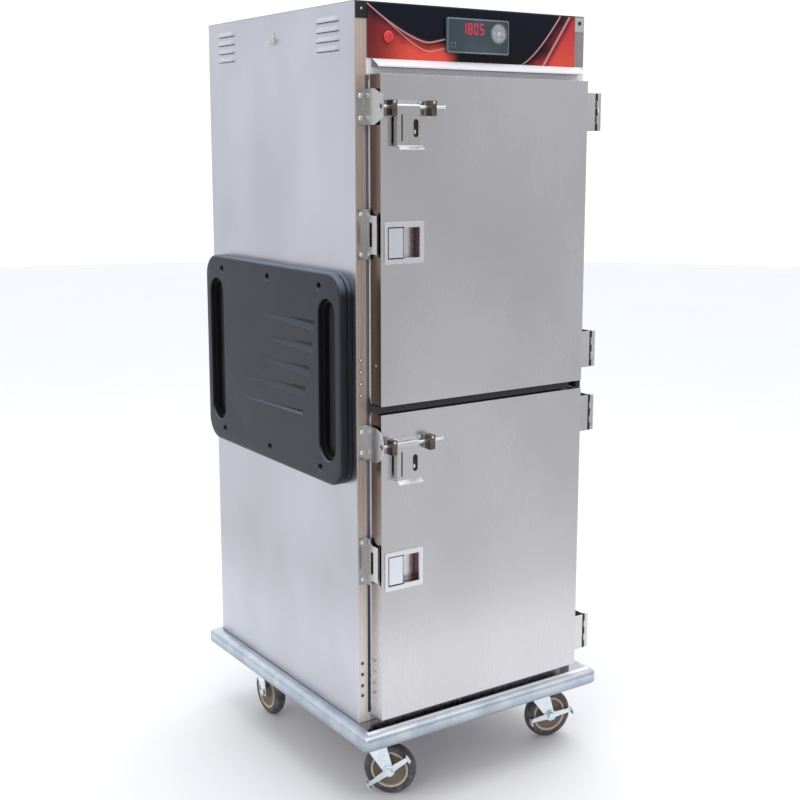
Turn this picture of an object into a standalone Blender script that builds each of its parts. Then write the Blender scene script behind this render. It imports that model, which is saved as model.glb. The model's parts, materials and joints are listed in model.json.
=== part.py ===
"""A tall mobile proofing and holding cabinet with two stacked doors, on swivel casters.

Metres, +Z up, -Y is the front. The origin is on the floor under the middle of the whole cabinet.
"""

import math

import bmesh
import bpy
from mathutils import Matrix, Vector

# Cabinet body
BODY_WIDTH = 0.650
BODY_DEPTH = 0.710
BODY_MIDDLE_Y = 0.0259
BODY_BOTTOM = 0.2135
BODY_TOP = 1.8480
SHEET = 0.0012
GAP = 0.0003
FRONT = BODY_MIDDLE_Y - BODY_DEPTH / 2
REAR = BODY_MIDDLE_Y + BODY_DEPTH / 2
SIDE = BODY_WIDTH / 2

# Face frame and its two door openings
FRAME_PLATE = 0.0015
FRAME_DEPTH = 0.0120
OPENING_HALF = 0.2720
LOWER_OPENING = (0.2570, 0.9320)
UPPER_OPENING = (0.9950, 1.6720)

# Liner and what stands in it
LINER_HALF = 0.2740
LINER_BOTTOM = 0.2450
LINER_TOP = 1.6860
LINER_BACK = REAR - 0.0450
RACK_HALF = 0.2360
LEDGE_REACH = 0.0220
LEDGE_LEVELS = [0.335 + 0.125 * n for n in range(10)]
RACK_FRONT = FRONT + 0.050
RACK_BACK = LINER_BACK - 0.020

# Doors
DOOR_FACE = FRONT - 0.0560
DOOR_BACK = FRONT - 0.0120
DOOR_LEFT = -0.2967
DOOR_RIGHT = 0.2920
UPPER_DOOR = (0.9730, 1.6940)
LOWER_DOOR = (0.2345, 0.9540)
GASKET_INSET = 0.0042
GASKET_WIDTH = 0.0160

# Hinges: the axis stands beside the body's right side
HINGE_X = 0.3340
HINGE_Y = DOOR_FACE + 0.0085
HINGE_HEIGHT = 0.0889
KNUCKLES = 5
BARREL = 0.0065
PIN = 0.0030
HINGE_WRAP = 0.0130
STRAP_END = 0.3185
LEAF = 0.0025
HINGE_BOTTOMS = {"lower": (0.2700, 0.8430), "upper": (1.0040, 1.5775)}

# Door hardware
PADDLE_Z = {"upper": 1.3335, "lower": 0.5890}
PADDLE_LEFT, PADDLE_RIGHT = -0.2880, -0.1840
PADDLE_HALF = 0.0455
STRIKE_RISE = 0.0180
BOLT_Z = {"upper": 1.6250, "lower": 0.8850}
BOLT_Y = DOOR_FACE - 0.0120
BOLT_RADIUS = 0.0035
BOLT_TIP, BOLT_END = -0.2995, -0.1375
GUIDES = ((-0.2840, -0.2710), (-0.1820, -0.1680))
GUIDE_REACH = 0.0260
HASP = (-0.2660, -0.2060)
HASP_DROP = 0.0830
FLANGE_X = (-0.3045, -0.3025)
BOLT_HOLE = 0.0062

# Control panel
PANEL = (-0.2945, 0.2935, 1.7290, 1.8440)
PANEL_THICKNESS = 0.0030
BEZEL = (-0.0900, 0.0870, 1.7470, 1.8245)
BEZEL_REACH = 0.0070
KEYPAD = (0.0560, 1.7940, 0.0205)
SWITCH = (-0.2440, 1.7750, 0.0125)
SWITCH_STEM = 0.0060
AWNING_REACH = 0.0240
AWNING_DROP = 0.0190

# Moulded handle panels on the sides
HANDLE_THICKNESS = 0.0320
HANDLE_HALF_DEPTH = 0.3395
HANDLE_Z = (0.7770, 1.2640)
HANDLE_RADIUS = 0.0550
GRIP_Y = 0.2780
GRIP_HALF_WIDTH = 0.0370
GRIP_Z = (0.8310, 1.2060)
GRIP_DEPTH = 0.0260

# Base, bumper and casters
BASE_PLATE = 0.0035
BASE_FLOOR = 0.1603
BUMPER_OUT = 0.3556
BUMPER_THICKNESS = 0.0260
BUMPER_FRONT = FRONT - 0.0770
BUMPER_REAR = REAR + 0.0330
BUMPER_Z = (0.1740, 0.2135)
CASTER_X = 0.2500
CASTER_FRONT_Y = FRONT + 0.0550
CASTER_REAR_Y = REAR - 0.0930
WHEEL_RADIUS = 0.0635
TRAIL = 0.0420
FORK_HALF = 0.0185
FORK_SHEET = 0.0030
AXLE = 0.0055
CHANNEL_HALF = 0.0500
CHANNEL_WALL = 0.0030
CASTER_HEADINGS = {"front_left": -43, "front_right": -13, "rear_left": -90, "rear_right": -72}
BRAKE_ANGLES = {"front_left": 38, "front_right": 7}
BRAKE_ARM = 0.0600
BRAKE_SHEET = 0.0030
PEDAL_REACH = 0.0150
PEDAL_HALF = 0.0090

# Heater tray in the bottom of the liner
HEATER_TOP = 0.3050
HEATER_HALF = 0.2050
HEATER_FRONT = BODY_MIDDLE_Y - 0.0300
BLOWER_Y = BODY_MIDDLE_Y + 0.1300
BLOWER_RADIUS = 0.0500


def clear_scene():
    for obj in list(bpy.data.objects):
        bpy.data.objects.remove(obj, do_unlink=True)


# Outlines in a plane


def arc(centre, radius, start, end, steps):
    """Points on an arc, both ends included; angles in degrees."""
    turns = [math.radians(start + (end - start) * n / steps) for n in range(steps + 1)]
    return [(centre[0] + radius * math.cos(t), centre[1] + radius * math.sin(t)) for t in turns]


def circle(centre, radius, steps=16):
    return arc(centre, radius, 0, 360, steps)[:-1]


def rectangle(left, right, bottom, top):
    return [(left, bottom), (right, bottom), (right, top), (left, top)]


def rounded(left, right, bottom, top, radius, steps=4):
    corners = (
        ((right - radius, bottom + radius), -90),
        ((right - radius, top - radius), 0),
        ((left + radius, top - radius), 90),
        ((left + radius, bottom + radius), 180),
    )
    return [p for centre, start in corners for p in arc(centre, radius, start, start + 90, steps)]


# Meshes

AXES = {"x": (1, 2, 0), "y": (0, 2, 1), "z": (0, 1, 2)}


def spot(axis, point, along):
    """The place of a point of the plane across the axis, at a distance along it."""
    first, second, third = AXES[axis]
    place = [0.0, 0.0, 0.0]
    place[first], place[second], place[third] = point[0], point[1], along
    return place


def finished(bm):
    bmesh.ops.recalc_face_normals(bm, faces=bm.faces)
    mesh = bpy.data.meshes.new("shape")
    bm.to_mesh(mesh)
    bm.free()
    return mesh


def lofted(axis, rings):
    """A solid through rings of equally many points, each ring an outline and its distance along the axis."""
    bm = bmesh.new()
    loops = [[bm.verts.new(spot(axis, p, along)) for p in outline] for outline, along in rings]
    for one, two in zip(loops, loops[1:]):
        for n in range(len(one)):
            m = (n + 1) % len(one)
            bm.faces.new((one[n], one[m], two[m], two[n]))
    bm.faces.new(loops[0])
    bm.faces.new(loops[-1])
    return finished(bm)


def prism(axis, outline, start, end):
    return lofted(axis, ((outline, start), (outline, end)))


def box(x, y, z):
    return prism("z", rectangle(x[0], x[1], y[0], y[1]), z[0], z[1])


def turned(axis, profile, centre, steps=24):
    """A ring-shaped solid: a closed profile of (radius, distance along the axis) turned about the axis."""
    bm = bmesh.new()
    loops = []
    for n in range(steps):
        angle = 2 * math.pi * n / steps - math.pi / 2
        ring = []
        for radius, along in profile:
            point = (centre[0] + radius * math.cos(angle), centre[1] + radius * math.sin(angle))
            ring.append(bm.verts.new(spot(axis, point, along)))
        loops.append(ring)
    for n in range(steps):
        one, two = loops[n], loops[(n + 1) % steps]
        for k in range(len(profile)):
            m = (k + 1) % len(profile)
            bm.faces.new((one[k], one[m], two[m], two[k]))
    return finished(bm)


def joined(*meshes):
    """Several meshes as one, for pieces that don't touch."""
    bm = bmesh.new()
    for mesh in meshes:
        bm.from_mesh(mesh)
    return finished(bm)


# Materials

FINISHES = {
    "stainless": ((0.62, 0.61, 0.60), 0.32, 1.0),
    "dark_stainless": ((0.30, 0.30, 0.31), 0.35, 1.0),
    "liner_steel": ((0.55, 0.55, 0.55), 0.40, 1.0),
    "zinc": ((0.72, 0.75, 0.76), 0.30, 1.0),
    "aluminium": ((0.50, 0.53, 0.60), 0.35, 1.0),
    "insulation": ((0.75, 0.70, 0.50), 0.90, 0.0),
    "gasket": ((0.05, 0.05, 0.06), 0.70, 0.0),
    "black_polymer": ((0.045, 0.05, 0.06), 0.55, 0.0),
    "graphic": ((0.03, 0.02, 0.03), 0.25, 0.0),
    "bezel": ((0.09, 0.12, 0.14), 0.35, 0.0),
    "silver_key": ((0.50, 0.53, 0.56), 0.40, 0.3),
    "red_lens": ((0.75, 0.03, 0.04), 0.20, 0.0),
    "tyre": ((0.10, 0.09, 0.11), 0.65, 0.0),
    "heater": ((0.18, 0.16, 0.15), 0.55, 0.8),
}


def material(name):
    found = bpy.data.materials.get(name)
    if found:
        return found
    colour, roughness, metallic = FINISHES[name]
    made = bpy.data.materials.new(name)
    made.use_nodes = True
    shader = made.node_tree.nodes["Principled BSDF"]
    shader.inputs["Base Color"].default_value = (*colour, 1.0)
    shader.inputs["Roughness"].default_value = roughness
    shader.inputs["Metallic"].default_value = metallic
    made.diffuse_color = (*colour, 1.0)
    return made


# Objects


def empty(name, place, turn=0.0):
    obj = bpy.data.objects.new(name, None)
    obj.location = place
    obj.rotation_euler = (0, 0, math.radians(turn))
    bpy.context.scene.collection.objects.link(obj)
    return obj


def helper(name, mesh, parent):
    obj = bpy.data.objects.new(name, mesh)
    obj.hide_render = True
    obj.display_type = "WIRE"
    obj.parent = parent
    bpy.context.scene.collection.objects.link(obj)
    return obj


def solid(name, finish, mesh, add=(), cut=(), after=(), parent=None, pivot=None):
    """One node. Booleans unite it with add, take cut from it, and then unite it with after."""
    mesh = mesh.copy()
    mesh.name = name
    mesh.materials.clear()
    mesh.materials.append(material(finish))
    obj = bpy.data.objects.new(name, mesh)
    bpy.context.scene.collection.objects.link(obj)
    if pivot is not None:
        mesh.transform(Matrix.Translation(-Vector(pivot)))
        obj.location = pivot
    obj.parent = parent
    steps = [("UNION", extra) for extra in add]
    steps += [("DIFFERENCE", extra) for extra in cut]
    steps += [("UNION", extra) for extra in after]
    for n, (operation, extra) in enumerate(steps):
        modifier = obj.modifiers.new(f"step_{n}", "BOOLEAN")
        modifier.operation = operation
        modifier.solver = "EXACT"
        modifier.object = helper(f"{name}_step_{n}", extra, parent)
    return obj


def smooth(obj, degrees=35):
    obj.data.shade_smooth()
    obj.data.set_sharp_from_angle(angle=math.radians(degrees))
    return obj


def hang(obj, parent):
    """Parents an object built in world coordinates to an empty that only has a place."""
    obj.location = Vector(obj.location) - parent.location
    obj.parent = parent
    return obj


# Body


def make_outer_wrap():
    """The two sides and the back, one folded sheet."""
    front = FRONT + FRAME_PLATE + GAP
    inner = SIDE - SHEET
    outline = [
        (-SIDE, front), (-inner, front), (-inner, REAR - SHEET), (inner, REAR - SHEET),
        (inner, front), (SIDE, front), (SIDE, REAR), (-SIDE, REAR),
    ]
    solid("outer_wrap", "stainless", prism("z", outline, BODY_BOTTOM + GAP, BODY_TOP - SHEET - GAP))


def make_top_panel():
    solid("top_panel", "stainless", box((-SIDE, SIDE), (FRONT, REAR), (BODY_TOP - SHEET, BODY_TOP)))


def make_face_frame():
    """Posts, header, mullion and sill: a face plate with a narrower body behind it."""
    inset = SHEET + GAP
    top = BODY_TOP - SHEET - GAP
    plate = box((-SIDE, SIDE), (FRONT, FRONT + FRAME_PLATE), (BODY_BOTTOM + GAP, top))
    behind = box((-SIDE + inset, SIDE - inset), (FRONT + FRAME_PLATE / 2, FRONT + FRAME_DEPTH),
                 (BODY_BOTTOM + GAP, top))
    through = (FRONT - 0.01, FRONT + FRAME_DEPTH + 0.01)
    holes = [box((-OPENING_HALF, OPENING_HALF), through, span) for span in (LOWER_OPENING, UPPER_OPENING)]
    holes.append(prism("y", circle(SWITCH[:2], SWITCH_STEM + 0.0008), *through))
    solid("face_frame", "stainless", plate, add=(behind,), cut=(joined(*holes),))


def make_liner():
    outer = box((-LINER_HALF, LINER_HALF), (FRONT + FRAME_DEPTH + GAP, LINER_BACK), (LINER_BOTTOM, LINER_TOP))
    inner = box((-LINER_HALF + SHEET, LINER_HALF - SHEET), (FRONT, LINER_BACK - SHEET),
                (LINER_BOTTOM + SHEET, LINER_TOP - SHEET))
    solid("inner_liner", "liner_steel", outer, cut=(inner,))


def make_insulation():
    """A blanket that fills the space between the liner and the outer sheets."""
    front = FRONT + FRAME_DEPTH + GAP
    side = SIDE - SHEET - GAP
    outer = box((-side, side), (front, REAR - SHEET - GAP), (BODY_BOTTOM + GAP, LINER_TOP + 0.040))
    reach = LINER_HALF + GAP
    inner = box((-reach, reach), (FRONT, LINER_BACK + GAP), (LINER_BOTTOM - GAP, LINER_TOP + GAP))
    solid("insulation_blanket", "insulation", outer, cut=(inner,))


# Interior


def make_slide_rack(name, side):
    """Two channel posts with angle ledges for the pans."""
    web, wall = side * RACK_HALF, side * (LINER_HALF - SHEET - GAP)
    sheet = side * 0.0015
    posts = []
    for start, end in ((RACK_FRONT, RACK_FRONT + 0.030), (RACK_BACK - 0.030, RACK_BACK)):
        outline = [
            (wall, start), (web, start), (web, end), (wall, end), (wall, end - 0.0015),
            (web + sheet, end - 0.0015), (web + sheet, start + 0.0015), (wall, start + 0.0015),
        ]
        posts.append(prism("z", outline, LEDGE_LEVELS[0] - 0.030, LEDGE_LEVELS[-1] + 0.130))
    ledges = []
    for level in LEDGE_LEVELS:
        tip, root = web - side * LEDGE_REACH, web + sheet / 2
        outline = [
            (tip, level), (root, level), (root, level + 0.020), (web - sheet, level + 0.020),
            (web - sheet, level + 0.0015), (tip, level + 0.0015),
        ]
        ledges.append(prism("y", outline, RACK_FRONT + 0.002, RACK_BACK - 0.002))
    solid(name, "liner_steel", posts[0], add=(joined(*ledges), posts[1]))


def make_heater():
    """The heater cover with its grille, the fan that stirs the air and the heating element."""
    floor = LINER_BOTTOM + SHEET + GAP
    back = LINER_BACK - SHEET - 0.012
    cover = box((-HEATER_HALF, HEATER_HALF), (HEATER_FRONT, back), (floor, HEATER_TOP))
    hollow = box((-HEATER_HALF + SHEET, HEATER_HALF - SHEET), (HEATER_FRONT + SHEET, back - SHEET),
                 (floor - 0.01, HEATER_TOP - SHEET))
    slots = []
    for n in range(-3, 4):
        half = math.sqrt((BLOWER_RADIUS + 0.004) ** 2 - (0.0145 * n) ** 2)
        middle = 0.0145 * n
        slots.append(box((middle - 0.004, middle + 0.004), (BLOWER_Y - half, BLOWER_Y + half),
                         (HEATER_TOP - 0.01, HEATER_TOP + 0.01)))
    for n in range(9):
        middle = -0.16 + 0.04 * n
        slots.append(box((middle - 0.013, middle + 0.013), (HEATER_FRONT - 0.01, HEATER_FRONT + 0.01),
                         (floor + 0.018, floor + 0.030)))
    solid("heater_cover", "liner_steel", cover, cut=(hollow, joined(*slots)))

    low, high = floor + 0.006, HEATER_TOP - 0.012
    hub = [(0.004, low), (0.012, low), (0.012, high), (0.004, high)]
    disc = [(0.0045, low), (BLOWER_RADIUS, low), (BLOWER_RADIUS, low + 0.002), (0.0045, low + 0.002)]
    blades = []
    for n in range(10):
        blade = box((0.028, BLOWER_RADIUS - 0.002), (-0.001, 0.001), (low + 0.001, high - 0.006))
        lean = Matrix.Translation((0.039, 0, 0)) @ Matrix.Rotation(math.radians(35), 4, "Z")
        lean = lean @ Matrix.Translation((-0.039, 0, 0))
        blade.transform(Matrix.Rotation(2 * math.pi * n / 10, 4, "Z") @ lean)
        blade.transform(Matrix.Translation((0, BLOWER_Y, 0)))
        blades.append(blade)
    centre = (0, BLOWER_Y)
    obj = solid("blower_wheel", "zinc", turned("z", hub, centre, 16),
                add=(turned("z", disc, centre, 20), joined(*blades)), pivot=(0, BLOWER_Y, low))
    smooth(obj)

    make_element(floor + 0.026)


def make_element(level):
    """A tubular element: a loop round the fan with both ends at the back."""
    reach, tail, tube = 0.088, 0.060, 0.004
    path = [(-0.030, tail)] + arc((0, 0), reach, 125, 415, 24) + [(0.030, tail)]
    curve = bpy.data.curves.new("heating_element", "CURVE")
    curve.dimensions = "3D"
    curve.bevel_depth = tube
    curve.bevel_resolution = 1
    curve.use_fill_caps = True
    spline = curve.splines.new("POLY")
    spline.points.add(len(path) - 1)
    for point, (x, y) in zip(spline.points, path):
        point.co = (x, BLOWER_Y + y, level, 1)
    curve.materials.append(material("heater"))
    obj = bpy.data.objects.new("heating_element", curve)
    bpy.context.scene.collection.objects.link(obj)


def make_water_pan():
    floor = LINER_BOTTOM + SHEET + GAP
    front, back = FRONT + 0.075, HEATER_FRONT - 0.020
    rim, wall = 0.010, 0.0010
    outer = rounded(-0.160, 0.160, front, back, 0.020)
    lip = rounded(-0.160 - rim, 0.160 + rim, front - rim, back + rim, 0.030)
    inner = rounded(-0.160 + wall, 0.160 - wall, front + wall, back - wall, 0.019)
    rings = ((outer, floor), (outer, floor + 0.039), (lip, floor + 0.039), (lip, floor + 0.040),
             (inner, floor + 0.040), (inner, floor + wall))
    solid("water_pan", "liner_steel", lofted("z", rings))


# Control panel


def make_controls():
    left, right, bottom, top = PANEL
    face = FRONT - GAP - PANEL_THICKNESS
    stem_hole = prism("y", circle(SWITCH[:2], SWITCH_STEM + 0.0008), face - 0.01, FRONT)
    solid("control_panel", "graphic", prism("y", rectangle(left, right, bottom, top), face, FRONT - GAP),
          cut=(stem_hole,))

    left, right, bottom, top = BEZEL
    back, front = face - GAP, face - GAP - BEZEL_REACH
    rings = (
        (rounded(left, right, bottom, top, 0.004, 3), back),
        (rounded(left, right, bottom, top, 0.004, 3), front + 0.0015),
        (rounded(left + 0.0015, right - 0.0015, bottom + 0.0015, top - 0.0015, 0.003, 3), front),
    )
    pocket = prism("y", circle(KEYPAD[:2], KEYPAD[2] + 0.0006, 24), front - 0.01, front + 0.0040)
    solid("controller_bezel", "bezel", lofted("y", rings), cut=(pocket,))

    key = ((KEYPAD[2], front + 0.0027), (KEYPAD[2], front - 0.0006), (KEYPAD[2] - 0.0015, front - 0.0014))
    rings = [(circle(KEYPAD[:2], radius, 24), along) for radius, along in key]
    smooth(solid("keypad_button", "silver_key", lofted("y", rings), pivot=spot("y", KEYPAD[:2], front)))

    cap_back = face - 0.0025
    radius = SWITCH[2]
    dome = [
        (SWITCH_STEM, FRONT + 0.006), (SWITCH_STEM, cap_back), (radius, cap_back),
        (radius, cap_back - 0.0035), (radius * 0.87, cap_back - 0.0055), (radius * 0.5, cap_back - 0.0068),
    ]
    rings = [(circle(SWITCH[:2], r, 20), along) for r, along in dome]
    smooth(solid("power_switch", "red_lens", lofted("y", rings), pivot=spot("y", SWITCH[:2], cap_back)))


def make_awning():
    """A ledge that throws drips clear of the door, bevelled back at both ends."""
    left, right = PANEL[0] + 0.0110, SIDE - 0.0180
    top, bottom = PANEL[2] - GAP, PANEL[2] - AWNING_DROP
    back = FRONT - GAP
    whole = rectangle(left, right, bottom, top)
    lip = rectangle(left + 0.0010, right - 0.0030, bottom, bottom + 0.0040)
    rings = ((whole, back), (whole, back - 0.0015), (lip, back - AWNING_REACH))
    solid("awning", "stainless", lofted("y", rings))


# Doors


def make_hinge(door, place, bottom, pivot):
    """Two leaves with interleaved knuckles; the pin belongs to the frame's leaf."""
    step = HINGE_HEIGHT / KNUCKLES
    top = bottom + HINGE_HEIGHT
    spans = [(bottom + n * step + GAP / 2, bottom + (n + 1) * step - GAP / 2) for n in range(KNUCKLES)]
    centre = (HINGE_X, HINGE_Y)
    barrels = [prism("z", circle(centre, BARREL, 12), *span) for span in spans]

    inner = SIDE + GAP
    near = HINGE_Y + 0.0035
    plate = box((inner, inner + LEAF), (near, FRONT + HINGE_WRAP), (bottom, top))
    foot = box((DOOR_RIGHT + 0.0090, inner + 0.0010), (FRONT - GAP - LEAF, FRONT - GAP), (bottom, top))
    links = [box((inner, HINGE_X), (near, near + LEAF), span) for span in spans[::2]]
    pin = prism("z", circle(centre, PIN, 8), bottom, top)
    smooth(solid(f"{door}_hinge_frame_leaf_{place}", "stainless", plate,
                 add=(foot, joined(*links), joined(*barrels[::2]), pin)))

    edge = DOOR_RIGHT + GAP
    strap_face = HINGE_Y - 0.0060
    strap = box((edge, STRAP_END), (strap_face, strap_face + LEAF), (bottom, top))
    edge_plate = box((edge, edge + 0.0020), (strap_face + 0.0010, DOOR_BACK - 0.0040), (bottom, top))
    sunk = strap_face + 0.0020
    links = [box((STRAP_END - 0.0020, HINGE_X), (sunk, sunk + LEAF), span) for span in spans[1::2]]
    bore = prism("z", circle(centre, PIN + 0.0008, 8), bottom - 0.01, top + 0.01)
    obj = solid(f"{door}_hinge_door_leaf_{place}", "stainless", strap,
                add=(edge_plate, joined(*links), joined(*barrels[1::2])), cut=(bore,))
    hang(smooth(obj), pivot)


def make_door_panels(door, span, pivot):
    bottom, top = span
    seam = DOOR_BACK - 0.0024
    shell = box((DOOR_LEFT, DOOR_RIGHT), (DOOR_FACE, seam), (bottom, top))
    hollow = box((DOOR_LEFT + SHEET, DOOR_RIGHT - SHEET), (DOOR_FACE + SHEET, seam + 0.01),
                 (bottom + SHEET, top - SHEET))
    middle = PADDLE_Z[door]
    window = box((PADDLE_LEFT + 0.0085, PADDLE_RIGHT - 0.0085), (DOOR_FACE - 0.01, DOOR_FACE + 0.01),
                 (middle - PADDLE_HALF + 0.0105, middle + PADDLE_HALF - 0.0105))
    tongue_slot = box((DOOR_LEFT - 0.01, DOOR_LEFT + 0.01), (DOOR_FACE + 0.0025, DOOR_FACE + 0.0100),
                      (middle + STRIKE_RISE - 0.048, middle + STRIKE_RISE + 0.048))
    cuts = (hollow, joined(window, tongue_slot))
    hang(solid(f"{door}_door_outer_pan", "stainless", shell, cut=cuts), pivot)

    inner = box((DOOR_LEFT, DOOR_RIGHT), (seam + GAP, DOOR_BACK), (bottom, top))
    hang(solid(f"{door}_door_inner_pan", "liner_steel", inner), pivot)

    near, far = DOOR_BACK + GAP, FRONT - GAP
    lines = []
    for inset in (GASKET_INSET, GASKET_INSET + GASKET_WIDTH):
        lines.append(rounded(DOOR_LEFT + inset, DOOR_RIGHT - inset, bottom + inset, top - inset,
                             0.004 if inset > GASKET_INSET else 0.012, 3))
    ring = prism("y", lines[0], near, far)
    hole = prism("y", lines[1], near - 0.01, far + 0.01)
    hang(solid(f"{door}_door_gasket", "gasket", ring, cut=(hole,)), pivot)


def make_paddle(door, pivot):
    """A recessed cup with a bezel on the door's face, and the sprung paddle in its left half."""
    middle = PADDLE_Z[door]
    left, right = PADDLE_LEFT, PADDLE_RIGHT
    bottom, top = middle - PADDLE_HALF, middle + PADDLE_HALF
    face = DOOR_FACE - GAP
    bezel = prism("y", rounded(left, right, bottom, top, 0.003, 2), face - 0.0020, face)
    cup_x, cup_z = (left + 0.0090, right - 0.0090), (bottom + 0.0110, top - 0.0110)
    cup = box(cup_x, (face - 0.0010, DOOR_FACE + 0.0220), cup_z)
    hollow = box((cup_x[0] + 0.0012, cup_x[1] - 0.0012), (face - 0.01, DOOR_FACE + 0.0208),
                 (cup_z[0] + 0.0012, cup_z[1] - 0.0012))
    hang(solid(f"{door}_paddle_housing", "stainless", bezel, add=(cup,), cut=(hollow,)), pivot)

    axis_x, axis_y = left + 0.0135, DOOR_FACE + 0.0020
    plate = [
        (axis_x - 0.0020, axis_y - 0.0030), (axis_x + 0.0350, axis_y - 0.0030),
        (axis_x + 0.0385, axis_y - 0.0005), (axis_x + 0.0385, axis_y + 0.0060),
        (axis_x + 0.0365, axis_y + 0.0060), (axis_x + 0.0360, axis_y),
        (axis_x + 0.0340, axis_y - 0.0008), (axis_x - 0.0020, axis_y - 0.0008),
    ]
    obj = solid(f"{door}_paddle", "stainless", prism("z", plate, cup_z[0] + 0.0022, cup_z[1] - 0.0022),
                add=(prism("z", circle((axis_x, axis_y), 0.0018, 10), cup_z[0] + 0.0022, cup_z[1] - 0.0022),),
                pivot=(axis_x, axis_y, middle))
    hang(obj, pivot)


def make_transport_latch(door, pivot):
    """A slide bolt in two guides, with a padlock hasp that swings on it."""
    level = BOLT_Z[door]
    face = DOOR_FACE - GAP
    bottom, top = level - 0.0220, level + 0.0140
    plate = box((GUIDES[0][0], GUIDES[1][1]), (face - 0.0018, face), (bottom, top))
    guides = [box(span, (face - GUIDE_REACH, face - 0.0008), (bottom + 0.0030, top)) for span in GUIDES]
    bore = prism("x", circle((BOLT_Y, level), BOLT_RADIUS + 0.0006), GUIDES[0][0] - 0.01, GUIDES[1][1] + 0.01)
    wall = 0.0020
    hollows = [box((span[0] + wall, span[1] - wall), (face - GUIDE_REACH + wall, face - wall),
                   (bottom, top - wall)) for span in GUIDES]
    cuts = (bore, joined(*hollows))
    hang(solid(f"{door}_bolt_guide", "stainless", plate, add=(joined(*guides),), cut=cuts), pivot)

    profile = [(0.0018, BOLT_TIP), (BOLT_RADIUS, BOLT_TIP + 0.0020), (BOLT_RADIUS, BOLT_END - 0.0040),
               (0.0050, BOLT_END - 0.0040), (0.0050, BOLT_END - 0.0008), (0.0040, BOLT_END)]
    rings = [(circle((BOLT_Y, level), radius, 14), along) for radius, along in profile]
    obj = smooth(solid(f"{door}_slide_bolt", "zinc", lofted("x", rings), pivot=(BOLT_TIP, BOLT_Y, level)))
    hang(obj, pivot)

    left, right = HASP
    low = level - HASP_DROP
    front = BOLT_Y - 0.0045
    knuckle = prism("x", circle((BOLT_Y, level), 0.0062), left, right)
    leaf = box((left, right), (front - 0.0012, front + 0.0006), (low, level))
    bend = [(front + 0.0003, low + 0.0004), (front + 0.0003, low + 0.0028), (front - 0.0112, low - 0.0054),
            (front - 0.0122, low - 0.0072)]
    lip = prism("x", bend, left, right + 0.0050)
    turn = box((left, left + 0.0015), (front, BOLT_Y + 0.0070), (low, level - 0.0040))
    bore = prism("x", circle((BOLT_Y, level), BOLT_RADIUS + 0.0006), left - 0.01, right + 0.01)
    slit = box((left + 0.0110, left + 0.0145), (front - 0.01, front + 0.004), (low + 0.0100, level - 0.0160))
    eye = prism("y", arc((right - 0.0110, level - 0.0320), 0.0065, 0, 180, 6)
                + arc((right - 0.0110, level - 0.0580), 0.0065, 180, 360, 6), front - 0.01, front + 0.004)
    obj = solid(f"{door}_padlock_hasp", "stainless", leaf, add=(knuckle, lip, turn),
                cut=(bore, joined(slit, eye)), pivot=(left, BOLT_Y, level))
    hang(obj, pivot)


def make_keeper(door):
    """The plate on the left post that the slide bolt enters."""
    middle = BOLT_Z[door]
    near, far = FRONT - GAP, BOLT_Y - 0.0105
    if door == "upper":
        half, nose = 0.0385, 0.0230
        outline = [(near, -half), (near, half), (FRONT - 0.0420, half), (far, nose), (far, -nose),
                   (FRONT - 0.0420, -half)]
    else:
        half = 0.0400
        outline = [(near, -half), (near, half)] + arc((far + half, 0), half, 90, 270, 12)
    outline = [(y, middle + z) for y, z in outline]
    flange = prism("x", outline, *FLANGE_X)
    plate = box((-SIDE + 0.0020, FLANGE_X[0] + 0.0010), (near - 0.0020, near), (middle - half, middle + half))
    hole = prism("x", circle((BOLT_Y, middle), BOLT_HOLE), FLANGE_X[0] - 0.01, FLANGE_X[1] + 0.01)
    solid(f"{door}_bolt_keeper", "stainless", flange, add=(plate,), cut=(hole,))


def make_strike(door):
    """The plate on the left post that the paddle latch's tongue would catch."""
    middle = PADDLE_Z[door] + STRIKE_RISE
    near, far = FRONT - GAP, FRONT - 0.0500
    half, nose = 0.0550, 0.0420
    step = half - nose
    upper = [(near, half)] + arc((FRONT - 0.0180 - step, half), step, 0, -90, 4) + [(far, nose)]
    outline = [(y, middle + z) for y, z in upper] + [(y, middle - z) for y, z in reversed(upper)]
    flange = prism("x", outline, *FLANGE_X)
    plate = box((-SIDE + 0.0020, FLANGE_X[0] + 0.0010), (near - 0.0020, near), (middle - half, middle + half))
    slot = box((FLANGE_X[0] - 0.01, FLANGE_X[1] + 0.01), (FRONT - 0.0330, FRONT - 0.0220),
               (middle - 0.0260, middle + 0.0260))
    solid(f"{door}_latch_strike", "stainless", flange, add=(plate,), cut=(slot,))


def make_door(door, span):
    pivot = empty(f"{door}_door_pivot", (HINGE_X, HINGE_Y, span[0]))
    make_door_panels(door, span, pivot)
    for place, bottom in zip(("low", "high"), HINGE_BOTTOMS[door]):
        make_hinge(door, place, bottom, pivot)
    make_paddle(door, pivot)
    make_transport_latch(door, pivot)
    make_keeper(door)
    make_strike(door)


# Handle panels


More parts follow.
